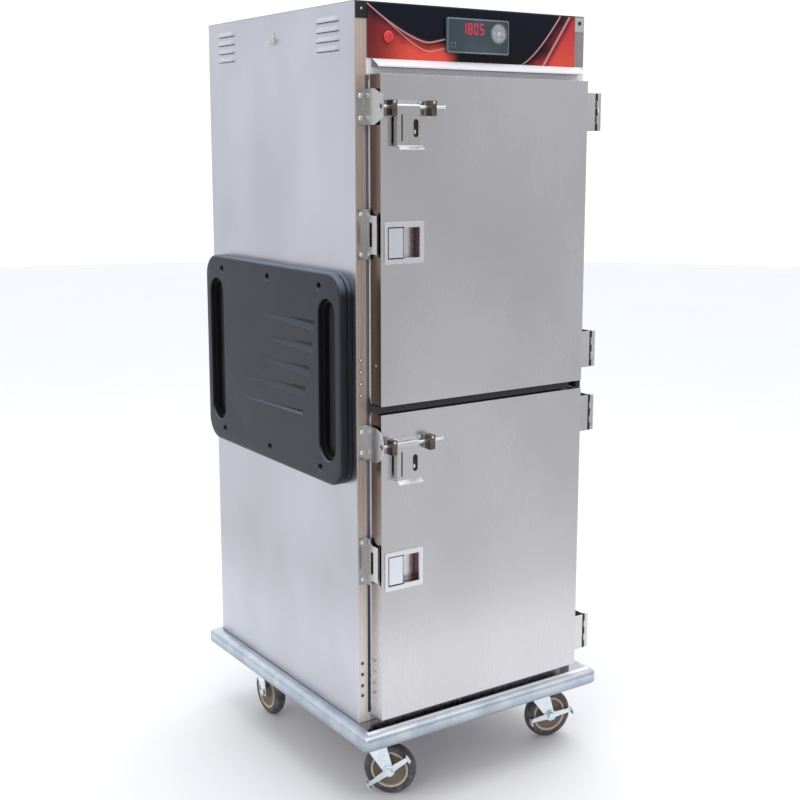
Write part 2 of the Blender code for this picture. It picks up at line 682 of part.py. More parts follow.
def make_handle_panel(name, side):
    """A thick moulded panel: two layers with a groove between them, and a grip slot near each end."""
    bottom, top = HANDLE_Z

    def outline(inset):
        return rounded(BODY_MIDDLE_Y - HANDLE_HALF_DEPTH + inset, BODY_MIDDLE_Y + HANDLE_HALF_DEPTH - inset,
                       bottom + inset, top - inset, HANDLE_RADIUS - inset, 5)

    inner = SIDE + GAP
    steps = ((0.0, 0.0), (0.0, 0.0110), (0.0035, 0.0120), (0.0035, 0.0140), (0.0, 0.0150),
             (0.0, 0.0275), (0.0015, 0.0305), (0.0045, HANDLE_THICKNESS - GAP))
    rings = [(outline(inset), side * (inner + depth)) for inset, depth in steps]
    face = inner + HANDLE_THICKNESS
    grips = []
    for y in (BODY_MIDDLE_Y - GRIP_Y, BODY_MIDDLE_Y + GRIP_Y):
        low, high = GRIP_Z[0] + GRIP_HALF_WIDTH, GRIP_Z[1] - GRIP_HALF_WIDTH
        shape = arc((y, high), GRIP_HALF_WIDTH, 0, 180, 8) + arc((y, low), GRIP_HALF_WIDTH, 180, 360, 8)
        grips.append(prism("x", shape, side * (face - GRIP_DEPTH), side * (face + 0.01)))
    smooth(solid(name, "black_polymer", lofted("x", rings), cut=(joined(*grips),)))


# Base


def make_base():
    """A top plate on a folded rim, with a channel across each pair of casters."""
    edge_x = BUMPER_OUT - BUMPER_THICKNESS - GAP
    front = BUMPER_FRONT + BUMPER_THICKNESS + GAP
    rear = BUMPER_REAR - BUMPER_THICKNESS - GAP
    top = BODY_BOTTOM - GAP
    plate = box((-edge_x, edge_x), (front, rear), (top - BASE_PLATE, top))
    rim = box((-edge_x, edge_x), (front, rear), (BASE_FLOOR + 0.010, top - BASE_PLATE / 2))
    inside = box((-edge_x + 0.003, edge_x - 0.003), (front + 0.003, rear - 0.003),
                 (BASE_FLOOR - 0.02, top - BASE_PLATE))
    channels = []
    outer, inner = CHANNEL_HALF, CHANNEL_HALF - CHANNEL_WALL
    joint, floor = top - BASE_PLATE / 2, BASE_FLOOR + CHANNEL_WALL + 0.001
    for y in (CASTER_FRONT_Y, CASTER_REAR_Y):
        outline = [
            (y - outer, BASE_FLOOR), (y + outer, BASE_FLOOR), (y + outer, joint), (y + inner, joint),
            (y + inner, floor), (y - inner, floor), (y - inner, joint), (y - outer, joint),
        ]
        channels.append(prism("x", outline, -edge_x + 0.001, edge_x - 0.001))
    solid("base_frame", "dark_stainless", rim, cut=(inside,), after=(plate, joined(*channels)))


def make_bumper():
    """A rounded extrusion all round the base, mitred at its corners."""
    low, high = BUMPER_Z
    thick = BUMPER_THICKNESS
    section = (
        [(0.0, high)]
        + [(thick - 0.014 + y, high - 0.014 + z) for y, z in arc((0, 0), 0.014, 75, 15, 3)]
        + [(thick - 0.0012, (low + high) / 2 + 0.003), (thick - 0.0012, (low + high) / 2 - 0.003)]
        + [(thick - 0.010 + y, low + 0.010 + z) for y, z in arc((0, 0), 0.010, -15, -75, 2)]
        + [(0.0, low)]
    )
    corners = (
        (BUMPER_OUT - thick, BUMPER_REAR - thick, 1, 1), (thick - BUMPER_OUT, BUMPER_REAR - thick, -1, 1),
        (thick - BUMPER_OUT, BUMPER_FRONT + thick, -1, -1), (BUMPER_OUT - thick, BUMPER_FRONT + thick, 1, -1),
    )
    bm = bmesh.new()
    loops = []
    for x, y, way_x, way_y in corners:
        loops.append([bm.verts.new((x + way_x * out, y + way_y * out, z)) for out, z in section])
    for n in range(4):
        one, two = loops[n], loops[(n + 1) % 4]
        for k in range(len(section)):
            m = (k + 1) % len(section)
            bm.faces.new((one[k], one[m], two[m], two[k]))
    smooth(solid("bumper", "aluminium", finished(bm)), 50)


def make_power_inlet():
    """The recessed inlet on the back, where the supply cord plugs in."""
    x, z = 0.190, 0.300
    base = prism("y", rounded(x - 0.035, x + 0.035, z - 0.028, z + 0.028, 0.006, 2), REAR + GAP, REAR + 0.012)
    mouth = rounded(x - 0.020, x + 0.020, z - 0.014, z + 0.014, 0.004, 2)
    well = prism("y", mouth, REAR + 0.003, REAR + 0.02)
    pins = [box((x + step - 0.001, x + step + 0.001), (REAR + 0.002, REAR + 0.010), (z - 0.004, z + 0.004))
            for step in (-0.009, 0.0, 0.009)]
    solid("power_inlet", "black_polymer", base, cut=(well,), after=(joined(*pins),))


# Casters, built about their swivel axis with the wheel trailing towards +X


def fork_leg():
    boss = (TRAIL, WHEEL_RADIUS)
    foot = arc(boss, 0.0125, 200, 350, 6)
    return [(-0.022, 0.145), (-0.022, 0.128)] + foot + [(0.036, 0.128), (0.036, 0.145)]


def make_fork(name, swivel, braked):
    outer = FORK_HALF + FORK_SHEET
    boss = (TRAIL, WHEEL_RADIUS)
    legs = [prism("y", fork_leg(), way * FORK_HALF, way * outer) for way in (-1, 1)]
    crown = box((-0.022, 0.036), (-outer, outer), (0.1420, 0.1460))
    race = [(0.0040, 0.1450), (0.0300, 0.1450), (0.0330, 0.1480), (0.0330, 0.1540), (0.0290, 0.1560),
            (0.0290, BASE_FLOOR - GAP), (0.0040, BASE_FLOOR - GAP)]
    axle = prism("y", circle(boss, AXLE, 12), -outer - 0.0050, outer + 0.0050)
    nut = outer + (0.0042 if braked else 0.0)
    nuts = joined(prism("y", circle(boss, 0.0098, 6), -nut - 0.0070, -nut),
                  prism("y", circle(boss, 0.0098, 6), outer - 0.0005, outer + 0.0060))
    parts = (joined(*legs), turned("z", race, (0, 0), 16), axle, nuts)
    smooth(solid(name, "zinc", crown, add=parts, parent=swivel))


def make_wheel(name, swivel):
    """A tyre on a dished hub, with the bore for the axle."""
    half = [
        (0.0062, 0.0165), (0.0150, 0.0165), (0.0165, 0.0100), (0.0400, 0.0100), (0.0425, 0.0145),
        (0.0575, 0.0155), (WHEEL_RADIUS, 0.0080),
    ]
    profile = half + [(radius, -along) for radius, along in reversed(half)]
    smooth(solid(name, "tyre", turned("y", profile, (TRAIL, WHEEL_RADIUS), 28), parent=swivel), 30)


def make_brake(name, swivel, angle):
    """A two-armed lever on the axle: one arm is pressed to lock the wheel, the other to free it."""
    near = -FORK_HALF - FORK_SHEET - GAP
    boss = (TRAIL, WHEEL_RADIUS)
    plate = prism("y", circle(boss, 0.0140, 16), near - BRAKE_SHEET, near)
    waist, tip = 0.0085, 0.0048
    arms = prism("y", [(TRAIL - BRAKE_ARM, WHEEL_RADIUS - tip), (TRAIL, WHEEL_RADIUS - waist),
                       (TRAIL + BRAKE_ARM, WHEEL_RADIUS - tip), (TRAIL + BRAKE_ARM, WHEEL_RADIUS + tip),
                       (TRAIL, WHEEL_RADIUS + waist), (TRAIL - BRAKE_ARM, WHEEL_RADIUS + tip)],
                 near - BRAKE_SHEET, near)
    pedals = joined(*[box(sorted((TRAIL + way * (BRAKE_ARM - 0.0010), TRAIL + way * (BRAKE_ARM + 0.0015))),
                          (near - PEDAL_REACH, near), (WHEEL_RADIUS - PEDAL_HALF, WHEEL_RADIUS + PEDAL_HALF))
                      for way in (-1, 1)])
    bore = prism("y", circle(boss, AXLE + 0.0006, 12), near - 0.02, near + 0.01)
    turn = (Matrix.Translation((TRAIL, 0, WHEEL_RADIUS)) @ Matrix.Rotation(math.radians(-angle), 4, "Y")
            @ Matrix.Translation((-TRAIL, 0, -WHEEL_RADIUS)))
    for mesh in (plate, arms, pedals):
        mesh.transform(turn)
    smooth(solid(name, "zinc", plate, add=(arms, pedals), cut=(bore,), parent=swivel))


def make_caster(corner, heading):
    row, side = corner.split("_")
    x = CASTER_X if side == "right" else -CASTER_X
    y = CASTER_FRONT_Y if row == "front" else CASTER_REAR_Y
    swivel = empty(f"{corner}_swivel", (x, y, 0), heading)
    braked = corner in BRAKE_ANGLES
    make_fork(f"{corner}_caster_fork", swivel, braked)
    make_wheel(f"{corner}_wheel", swivel)
    if braked:
        make_brake(f"{corner}_brake_lever", swivel, BRAKE_ANGLES[corner])


def main():
    clear_scene()
    make_outer_wrap()
    make_top_panel()
    make_face_frame()
    make_liner()
    make_insulation()
    make_slide_rack("left_slide_rack", -1)
    make_slide_rack("right_slide_rack", 1)
    make_heater()
    make_water_pan()
    make_controls()
    make_awning()
    make_door("lower", LOWER_DOOR)
    make_door("upper", UPPER_DOOR)
    make_handle_panel("left_handle_panel", -1)
    make_handle_panel("right_handle_panel", 1)
    make_base()
    make_bumper()
    make_power_inlet()
    for corner, heading in CASTER_HEADINGS.items():
        make_caster(corner, heading)


main()
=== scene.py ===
"""The looks of a mobile proofing cabinet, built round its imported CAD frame.

Metres, +Z up, -Y is the front. Every mesh is made in the frame's own coordinates, so a piece's object
coordinates are the frame's coordinates at rest, and they go with the body that the piece rides on.
"""

import json
import math

import bmesh
import bpy
from mathutils import Matrix, Vector


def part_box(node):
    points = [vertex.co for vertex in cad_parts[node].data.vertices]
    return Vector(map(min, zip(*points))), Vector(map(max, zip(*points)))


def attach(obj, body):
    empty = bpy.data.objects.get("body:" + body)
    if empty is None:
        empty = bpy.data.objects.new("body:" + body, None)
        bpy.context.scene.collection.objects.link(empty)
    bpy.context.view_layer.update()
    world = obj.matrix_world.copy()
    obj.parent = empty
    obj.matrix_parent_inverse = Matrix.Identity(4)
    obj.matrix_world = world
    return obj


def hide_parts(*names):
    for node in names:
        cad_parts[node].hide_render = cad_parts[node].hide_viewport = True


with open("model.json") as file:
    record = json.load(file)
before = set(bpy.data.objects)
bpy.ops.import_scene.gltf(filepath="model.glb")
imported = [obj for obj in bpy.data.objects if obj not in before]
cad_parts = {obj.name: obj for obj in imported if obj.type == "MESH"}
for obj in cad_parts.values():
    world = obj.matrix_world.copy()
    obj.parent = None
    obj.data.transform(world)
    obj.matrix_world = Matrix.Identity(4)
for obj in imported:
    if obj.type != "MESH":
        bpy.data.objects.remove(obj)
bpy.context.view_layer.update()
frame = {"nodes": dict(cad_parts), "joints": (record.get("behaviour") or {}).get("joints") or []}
NODES = frame["nodes"]
DOORS = ("upper", "lower")
SIDES = {"left": -1, "right": 1}
CORNERS = ("front_left", "front_right", "rear_left", "rear_right")

# Planes and edges of the cabinet, from the frame
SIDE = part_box("outer_wrap")[1].x
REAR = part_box("outer_wrap")[1].y
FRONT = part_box("face_frame")[0].y
MIDDLE_Y = (FRONT + REAR) / 2
DOOR_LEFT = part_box("upper_door_outer_pan")[0].x
DOOR_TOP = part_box("upper_door_outer_pan")[1].z
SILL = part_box("lower_door_outer_pan")[0].z
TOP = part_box("top_panel")[1].z
SKIN = 0.0002

# Grip panels, as in the CAD
GRIP_Y, GRIP_HALF = 0.2780, 0.0370
GRIP_Z = (0.8310, 1.2060)


# Outlines in a plane


def arc(centre, radius, start, end, steps):
    """Points on an arc, both ends included; angles in degrees."""
    turns = [math.radians(start + (end - start) * n / steps) for n in range(steps + 1)]
    return [(centre[0] + radius * math.cos(t), centre[1] + radius * math.sin(t)) for t in turns]


def circle(centre, radius, steps=24):
    return arc(centre, radius, 0, 360, steps)[:-1]


def rectangle(left, right, bottom, top):
    return [(left, bottom), (right, bottom), (right, top), (left, top)]


def rounded(left, right, bottom, top, radius, steps=6):
    corners = (
        ((right - radius, bottom + radius), -90),
        ((right - radius, top - radius), 0),
        ((left + radius, top - radius), 90),
        ((left + radius, bottom + radius), 180),
    )
    return [p for centre, start in corners for p in arc(centre, radius, start, start + 90, steps)]


# Meshes

AXES = {"x": (1, 2, 0), "y": (0, 2, 1), "z": (0, 1, 2)}


def spot(axis, point, along):
    """The place of a point of the plane across the axis, at a distance along it."""
    first, second, third = AXES[axis]
    place = [0.0, 0.0, 0.0]
    place[first], place[second], place[third] = point[0], point[1], along
    return place


def placed(name, data):
    """A new object in the scene."""
    obj = bpy.data.objects.new(name, data)
    bpy.context.scene.collection.objects.link(obj)
    return obj


def finished(bm):
    bmesh.ops.recalc_face_normals(bm, faces=bm.faces)
    mesh = bpy.data.meshes.new("shape")
    bm.to_mesh(mesh)
    bm.free()
    return mesh


def bridge(bm, one, two):
    """Faces between two closed loops of equally many vertices."""
    for n in range(len(one)):
        m = (n + 1) % len(one)
        bm.faces.new((one[n], one[m], two[m], two[n]))


def lofted(axis, rings):
    """A solid through rings of equally many points, each an outline and its distance along the axis."""
    bm = bmesh.new()
    loops = [[bm.verts.new(spot(axis, p, along)) for p in outline] for outline, along in rings]
    for one, two in zip(loops, loops[1:]):
        bridge(bm, one, two)
    bm.faces.new(loops[0])
    bm.faces.new(loops[-1])
    return finished(bm)


def prism(axis, outline, start, end):
    return lofted(axis, ((outline, start), (outline, end)))


def box(x, y, z):
    return prism("z", rectangle(x[0], x[1], y[0], y[1]), z[0], z[1])


def turned(axis, profile, centre, steps=48):
    """A ring: a closed profile of (radius, distance along the axis) turned about the axis."""
    bm = bmesh.new()
    loops = []
    for n in range(steps):
        angle = 2 * math.pi * n / steps
        ring = []
        for radius, along in profile:
            point = (centre[0] + radius * math.cos(angle), centre[1] + radius * math.sin(angle))
            ring.append(bm.verts.new(spot(axis, point, along)))
        loops.append(ring)
    for one, two in zip(loops, loops[1:] + loops[:1]):
        bridge(bm, one, two)
    return finished(bm)


def dome(axis, centre, base, radius, height):
    """A rivet or screw head, standing from base by height, which is negative towards the axis's low end."""
    shares = ((1.0, 0.0), (1.0, 0.25), (0.92, 0.55), (0.72, 0.82), (0.42, 0.96), (0.12, 1.0))
    return lofted(axis, [(circle(centre, radius * r, 16), base + height * h) for r, h in shares])


def joined(*meshes):
    bm = bmesh.new()
    for mesh in meshes:
        bm.from_mesh(mesh)
    return finished(bm)


def cut(mesh, *tools):
    """The mesh with the tools taken from it."""
    obj = placed("work", mesh)
    helpers = [placed("tool", tool) for tool in tools]
    for other in helpers:
        modifier = obj.modifiers.new("cut", "BOOLEAN")
        modifier.operation = "DIFFERENCE"
        modifier.solver = "EXACT"
        modifier.object = other
    bpy.context.view_layer.update()
    graph = bpy.context.evaluated_depsgraph_get()
    result = bpy.data.meshes.new_from_object(obj.evaluated_get(graph))
    for used in [obj, *helpers]:
        bpy.data.objects.remove(used, do_unlink=True)
    return result


# Materials


class Nodes:
    """A node tree whose nodes are made and linked by short calls."""

    def __init__(self, tree):
        self.tree = tree

    def put(self, node, inputs):
        for key, value in inputs.items():
            if isinstance(value, bpy.types.NodeSocket):
                self.tree.links.new(value, node.inputs[key])
            else:
                node.inputs[key].default_value = value

    def add(self, kind, inputs, output, **settings):
        node = self.tree.nodes.new(kind)
        for key, value in settings.items():
            setattr(node, key, value)
        self.put(node, inputs)
        return node.outputs[output]

    def across(self, fac, start, end, low=0.0, high=1.0, smooth=True):
        """Low to high, as fac goes from start to end."""
        kind = "SMOOTHSTEP" if smooth else "LINEAR"
        values = {"Value": fac, "From Min": start, "From Max": end, "To Min": low, "To Max": high}
        return self.add("ShaderNodeMapRange", values, "Result", interpolation_type=kind)

    def ramp(self, fac, *stops):
        """A colour for each position, from 0 to 1."""
        node = self.tree.nodes.new("ShaderNodeValToRGB")
        self.put(node, {"Fac": fac})
        elements = node.color_ramp.elements
        while len(elements) < len(stops):
            elements.new(0.5)
        for element, (position, colour) in zip(elements, stops):
            element.position = position
            element.color = (*colour, 1.0)
        return node.outputs["Color"]


class Paint(Nodes):
    """A material on a Principled shader."""

    def __init__(self, name, colour, roughness, metallic=0.0, **sockets):
        self.name = name
        self.material = bpy.data.materials.new(name)
        self.material.use_nodes = True
        super().__init__(self.material.node_tree)
        self.shader = self.tree.nodes["Principled BSDF"]
        self.place = self.tree.nodes.new("ShaderNodeTexCoord").outputs["Object"]
        self.put(self.shader, {"Base Color": (*colour, 1.0), "Roughness": roughness, "Metallic": metallic})
        self.put(self.shader, sockets)

    def noise(self, scale, stretch=(1, 1, 1), detail=3.0, rough=0.55):
        """Noise with so many features to the metre, pressed together by stretch along each axis."""
        place = self.add("ShaderNodeMapping", {"Vector": self.place, "Scale": stretch}, "Vector")
        return self.add("ShaderNodeTexNoise",
                        {"Vector": place, "Scale": scale, "Detail": detail, "Roughness": rough}, "Fac")

    def mix(self, fac, one, two, blend="MIX"):
        """Two colours, each a socket or red, green and blue, mixed by fac."""
        one, two = (c if isinstance(c, bpy.types.NodeSocket) else (*c, 1.0) for c in (one, two))
        return self.add("ShaderNodeMix", {0: fac, 6: one, 7: two}, 2, data_type="RGBA", blend_type=blend)

    def math(self, operation, one, two=0.0):
        return self.add("ShaderNodeMath", {0: one, 1: two}, 0, operation=operation)

    def product(self, first, *others):
        for other in others:
            first = self.math("MULTIPLY", first, other)
        return first

    def axis(self, letter):
        return self.add("ShaderNodeSeparateXYZ", {"Vector": self.place}, letter)

    def facing(self, letter):
        """How far the surface faces along an axis, from -1 to 1."""
        normal = self.tree.nodes.new("ShaderNodeNewGeometry").outputs["Normal"]
        return self.add("ShaderNodeSeparateXYZ", {"Vector": normal}, letter)

    def within(self, value, low, high):
        """1 between two limits, 0 outside them."""
        return self.product(self.math("GREATER_THAN", value, low), self.math("LESS_THAN", value, high))

    def colour(self, fac, one, two):
        self.put(self.shader, {"Base Color": self.mix(fac, one, two)})

    def rough(self, fac, low, high, start=0.3, end=0.7):
        """Roughness from low to high, as fac goes from start to end."""
        self.put(self.shader, {"Roughness": self.across(fac, start, end, low, high)})

    def bump(self, *layers):
        """Layers of (height, strength, distance), one on the other."""
        normal = None
        for height, strength, distance in layers:
            inputs = {"Height": height, "Strength": strength, "Distance": distance}
            if normal is not None:
                inputs["Normal"] = normal
            normal = self.add("ShaderNodeBump", inputs, "Normal")
        self.put(self.shader, {"Normal": normal})


GRAIN = {"x": (0.012, 1, 1), "y": (1, 0.012, 1), "z": (1, 1, 0.012)}


def steel(name, colour, roughness=0.3, grain="z", patch=0.05, wave=0.25, lines=0.10, edge=None, painted_reflection_tones=()):
    """Sheet steel brushed along one axis, with faint patches and a slight waviness.

    Tones are (height, factor) pairs up the object, a painted reflection that darkens and lightens the sheet
    in bands up its height; edge holds the painted light and shade of the left-facing faces, one colour low
    down and one high up.
    """
    paint = Paint(name, colour, roughness, 1.0)
    fine = paint.noise(900, GRAIN[grain], 2.0, 0.7)
    coarse = paint.noise(260, GRAIN[grain], 3.0, 0.6)
    cloud = paint.noise(3.2, (1, 1, 0.6), 2.0)
    darker = [c * (1 - 2.2 * patch) for c in colour]
    lighter = [min(1.0, c * (1 + patch)) for c in colour]
    base = paint.mix(paint.across(cloud, 0.3, 0.7), darker, lighter)
    scratched_and_painted_light = paint.mix(paint.across(coarse, 0.32, 0.68, 0.0, lines), base, darker)
    height = paint.axis("Z")
    # Painted reflection: bands up the object darken and lighten the colour.
    if painted_reflection_tones:
        level = paint.across(height, 0.0, TOP, smooth=False)
        stops = [(z / TOP, (tone, tone, tone)) for z, tone in painted_reflection_tones]
        scratched_and_painted_light = paint.mix(1.0, scratched_and_painted_light, paint.ramp(level, *stops), "MULTIPLY")
    # Painted light and shade: the left-facing faces take their own colours, one low down and one high up.
    if edge:
        side = paint.mix(paint.across(height, 0.32, 0.80), edge[0], edge[1])
        scratched_and_painted_light = paint.mix(paint.across(paint.facing("X"), -0.95, -0.70, 1.0, 0.0), scratched_and_painted_light, side)
    grainy = paint.math("ADD", paint.across(fine, 0.3, 0.7, -0.5 * lines, 0.6 * lines),
                        paint.across(cloud, 0.35, 0.7, roughness - 0.03, roughness + 0.05))
    paint.put(paint.shader, {"Base Color": scratched_and_painted_light, "Roughness": grainy})
    paint.bump((paint.noise(2.6, (1, 1, 1), 1.0), wave, 0.004), (fine, 0.5 * lines, 0.0002))
    return paint


def make_materials():
    """Every finish, by its name."""
    made = (
        # The doors: painted reflection in bands up the sheet, darker at mid height, and painted shade on the
        # left-facing faces, dark brown high up.
        steel("door_steel", (0.655, 0.65, 0.66), 0.25, patch=0.03, wave=0.15, lines=0.04,
              edge=((0.66, 0.65, 0.66), (0.22, 0.165, 0.135)),
              painted_reflection_tones=((0.28, 0.99), (0.37, 0.98), (0.50, 0.86), (0.66, 0.89), (0.90, 0.97))),
        # The inner pans: their left-facing faces are painted near white, a painted highlight.
        steel("inner_pan_steel", (0.60, 0.60, 0.60), 0.34, edge=((0.80, 0.80, 0.86), (0.95, 0.95, 1.0))),
        # The sides: painted reflection in bands up the sheet, darker at mid height.
        steel("side_steel", (0.62, 0.63, 0.67), 0.34, lines=0.07, painted_reflection_tones=(
            (0.24, 0.98), (0.36, 0.96), (0.52, 0.80), (0.80, 0.88), (1.15, 0.96), (1.6, 1.0))),
        steel("paddle_steel", (0.84, 0.87, 0.93), 0.26, "z", 0.02, 0.0, 0.04),
        steel("top_steel", (0.62, 0.62, 0.63), 0.32, "y"),
        steel("liner_steel", (0.55, 0.55, 0.55), 0.36, "y", 0.06),
        steel("fitting_steel", (0.66, 0.65, 0.64), 0.27, "z", 0.08, 0.0),
        steel("bright_steel", (0.84, 0.84, 0.85), 0.28, "z", 0.02, 0.0),
        steel("dark_fitting", (0.20, 0.17, 0.14), 0.30, "x", 0.2, 0.0),
        steel("base_steel", (0.44, 0.42, 0.47), 0.13, "x", 0.03, 0.05, 0.02),
        steel("heater", (0.20, 0.17, 0.15), 0.5, "x", 0.2, 0.0),
        awning_steel(), recess_steel(), guide_steel(), post_steel(), zinc(), aluminium(),
        polymer("polymer", (0.026, 0.030, 0.044), 0.40),
        # pit: near black, for the sheets of painted shade in gaps, slots and holes, and for black parts.
        polymer("pit", (0.007, 0.007, 0.010), 0.7),
        polymer("gasket", (0.012, 0.012, 0.016), 0.55),
        polymer("controller", (0.038, 0.060, 0.076), 0.34),
        polymer("border", (0.22, 0.28, 0.30), 0.35),
        polymer("key_mark", (0.62, 0.64, 0.66), 0.35),
        polymer("rim_cream", (0.50, 0.44, 0.34), 0.55),
        polymer("hub_tan", (0.185, 0.150, 0.105), 0.5),
        polymer("insulation", (0.62, 0.56, 0.38), 0.95),
        grip_polymer(), door_gasket(), rivet(), graphic(), key_silver(), lens(), digit(), tyre(),
    )
    return {paint.name: paint.material for paint in made}


SEAL_STRIP = 0.0068


def post_steel():
    """The face frame, with light and shade painted on: the left post painted brownish and pale low down and
    the right post dark grey, as a painted reflection; white over the doors as a painted highlight; and plain
    steel behind them.

    A painted shadow strip runs down the post beside the doors' seal, and above the control panel the frame
    is nearly black.
    """
    paint = Paint("post_steel", (0.6, 0.58, 0.56), 0.28, 1.0)
    grain = paint.noise(420, GRAIN["z"], 3.0, 0.65)
    cloud = paint.noise(5.0, (1, 1, 0.35), 2.0)
    height, across = paint.axis("Z"), paint.axis("X")
    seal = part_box("upper_door_gasket")[0].x
    # Painted reflection: the left post brown high up and pale low down, the right post dark grey.
    lower = paint.across(height, 0.30, 0.85, 1.0, 0.0)
    left = paint.mix(paint.across(grain, 0.2, 0.8), (0.50, 0.405, 0.345), (0.58, 0.480, 0.415))
    right = paint.mix(grain, (0.28, 0.26, 0.26), (0.36, 0.33, 0.33))
    pale = paint.mix(cloud, (0.76, 0.73, 0.68), (0.88, 0.85, 0.80))
    white = paint.mix(cloud, (0.93, 0.93, 1.0), (0.98, 0.98, 1.0))
    plain = paint.mix(cloud, (0.60, 0.60, 0.61), (0.66, 0.66, 0.67))
    # Painted shadow for the strip beside the seal, darker low down.
    shade = paint.mix(lower, (0.165, 0.165, 0.195), (0.045, 0.045, 0.085))
    panel_low, panel_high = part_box("control_panel")
    outer = paint.math("GREATER_THAN", paint.math("ABSOLUTE", across), -seal)
    posts = paint.mix(paint.math("GREATER_THAN", across, 0.0), paint.mix(lower, left, pale), right)
    beside = paint.product(paint.within(across, seal - SEAL_STRIP, seal + 0.0005),
                           paint.within(height, SILL, DOOR_TOP))
    surface = paint.mix(beside, paint.mix(outer, plain, posts), shade)
    # Painted highlight: the strip over the doors is painted white and made nearly non-metallic. Above the
    # control panel the frame is nearly black.
    inboard = paint.math("GREATER_THAN", across, DOOR_LEFT)
    head = paint.product(paint.within(height, DOOR_TOP, panel_low.z), inboard)
    rim = paint.math("GREATER_THAN", height, panel_high.z)
    paint.colour(rim, paint.mix(head, surface, white), (0.06, 0.06, 0.07))
    dull = paint.mix(head, paint.mix(outer, (1.0, 1.0, 1.0), (0.3, 0.3, 0.3)), (0.05, 0.05, 0.05))
    paint.put(paint.shader, {"Metallic": dull})
    paint.rough(grain, 0.24, 0.34)
    paint.bump((grain, 0.02, 0.0002))
    return paint


def rivet():
    """Rivet heads that catch the light high on the post, and only show dark low down on it."""
    paint = Paint("rivet", (0.6, 0.55, 0.5), 0.35)
    light = paint.mix(paint.noise(400), (0.78, 0.68, 0.60), (0.92, 0.84, 0.78))
    paint.colour(paint.across(paint.axis("Z"), 0.60, 0.80), (0.075, 0.055, 0.045), light)
    return paint


def door_gasket():
    """Black rubber, with a painted highlight on its left-facing side."""
    paint = Paint("door_gasket", (0.012, 0.012, 0.016), 0.55)
    # Painted highlight: the left-facing faces are painted pale blue-grey.
    outside = paint.across(paint.facing("X"), -0.9, -0.6, 1.0, 0.0)
    grain = paint.mix(paint.noise(300), (0.008, 0.008, 0.014), (0.018, 0.018, 0.030))
    paint.colour(outside, grain, (0.74, 0.75, 0.83))
    return paint


def awning_steel():
    """Sheet painted near white as a painted reflection of the light from above, with painted shade where it
    is cut back at its left-facing ends and underneath.
    """
    # Painted reflection: near white and little metallic.
    paint = Paint("awning_steel", (0.94, 0.94, 0.96), 0.50, 0.25)
    cloud = paint.noise(14, (0.3, 1, 1))
    base = paint.mix(cloud, (0.93, 0.93, 0.95), (0.98, 0.98, 1.0))
    # Painted shade on the left-facing ends and on the underside.
    ends = paint.across(paint.facing("X"), -0.55, -0.30, 1.0, 0.0)
    under = paint.across(paint.facing("Z"), -0.75, -0.35, 1.0, 0.0)
    paint.colour(paint.math("MAXIMUM", ends, under), base, (0.16, 0.16, 0.19))
    paint.rough(cloud, 0.38, 0.46)
    return paint


def recess_steel():
    """The latch cup: bright rim and floor, with painted shade on its walls, black painted shade round the
    paddle, and warm dark painted shade on the wall on the right.
    """
    low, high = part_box("upper_paddle_housing")
    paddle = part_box("upper_paddle")[1]
    paint = Paint("recess_steel", (0.84, 0.84, 0.85), 0.28, 1.0)
    cloud = paint.noise(60)
    base = paint.mix(cloud, (0.78, 0.78, 0.80), (0.86, 0.86, 0.87))
    across, depth = paint.axis("X"), paint.axis("Y")
    inside = paint.across(depth, low.y + 0.0024, low.y + 0.0050)
    deep = paint.across(depth, low.y + 0.018, low.y + 0.022)
    # Painted shade: the cup's walls darker than its floor, warm dark on the right wall, black round the
    # paddle.
    floor = paint.mix(deep, (0.30, 0.27, 0.26), (0.74, 0.74, 0.76))
    beside = paint.mix(paint.across(across, high.x - 0.0135, high.x - 0.0105), floor, (0.15, 0.085, 0.095))
    behind = paint.math("LESS_THAN", across, paddle.x + 0.0030)
    paint.colour(inside, base, paint.mix(behind, beside, (0.05, 0.05, 0.06)))
    paint.rough(cloud, 0.25, 0.34)
    return paint


def guide_steel():
    """The bolt's guides: a light plate, with the guides that stand on it painted dark as a painted
    reflection.
    """
    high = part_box("upper_bolt_guide")[1]
    paint = Paint("guide_steel", (0.6, 0.6, 0.6), 0.3, 1.0)
    cloud = paint.noise(70)
    light = paint.mix(cloud, (0.66, 0.66, 0.67), (0.78, 0.78, 0.80))
    # Painted reflection: the standing guides are painted dark brown.
    dark = paint.mix(cloud, (0.07, 0.055, 0.05), (0.24, 0.20, 0.17))
    proud = paint.across(paint.axis("Y"), high.y - 0.0040, high.y - 0.0022, 1.0, 0.0)
    paint.colour(proud, light, dark)
    paint.rough(cloud, 0.24, 0.36)
    return paint


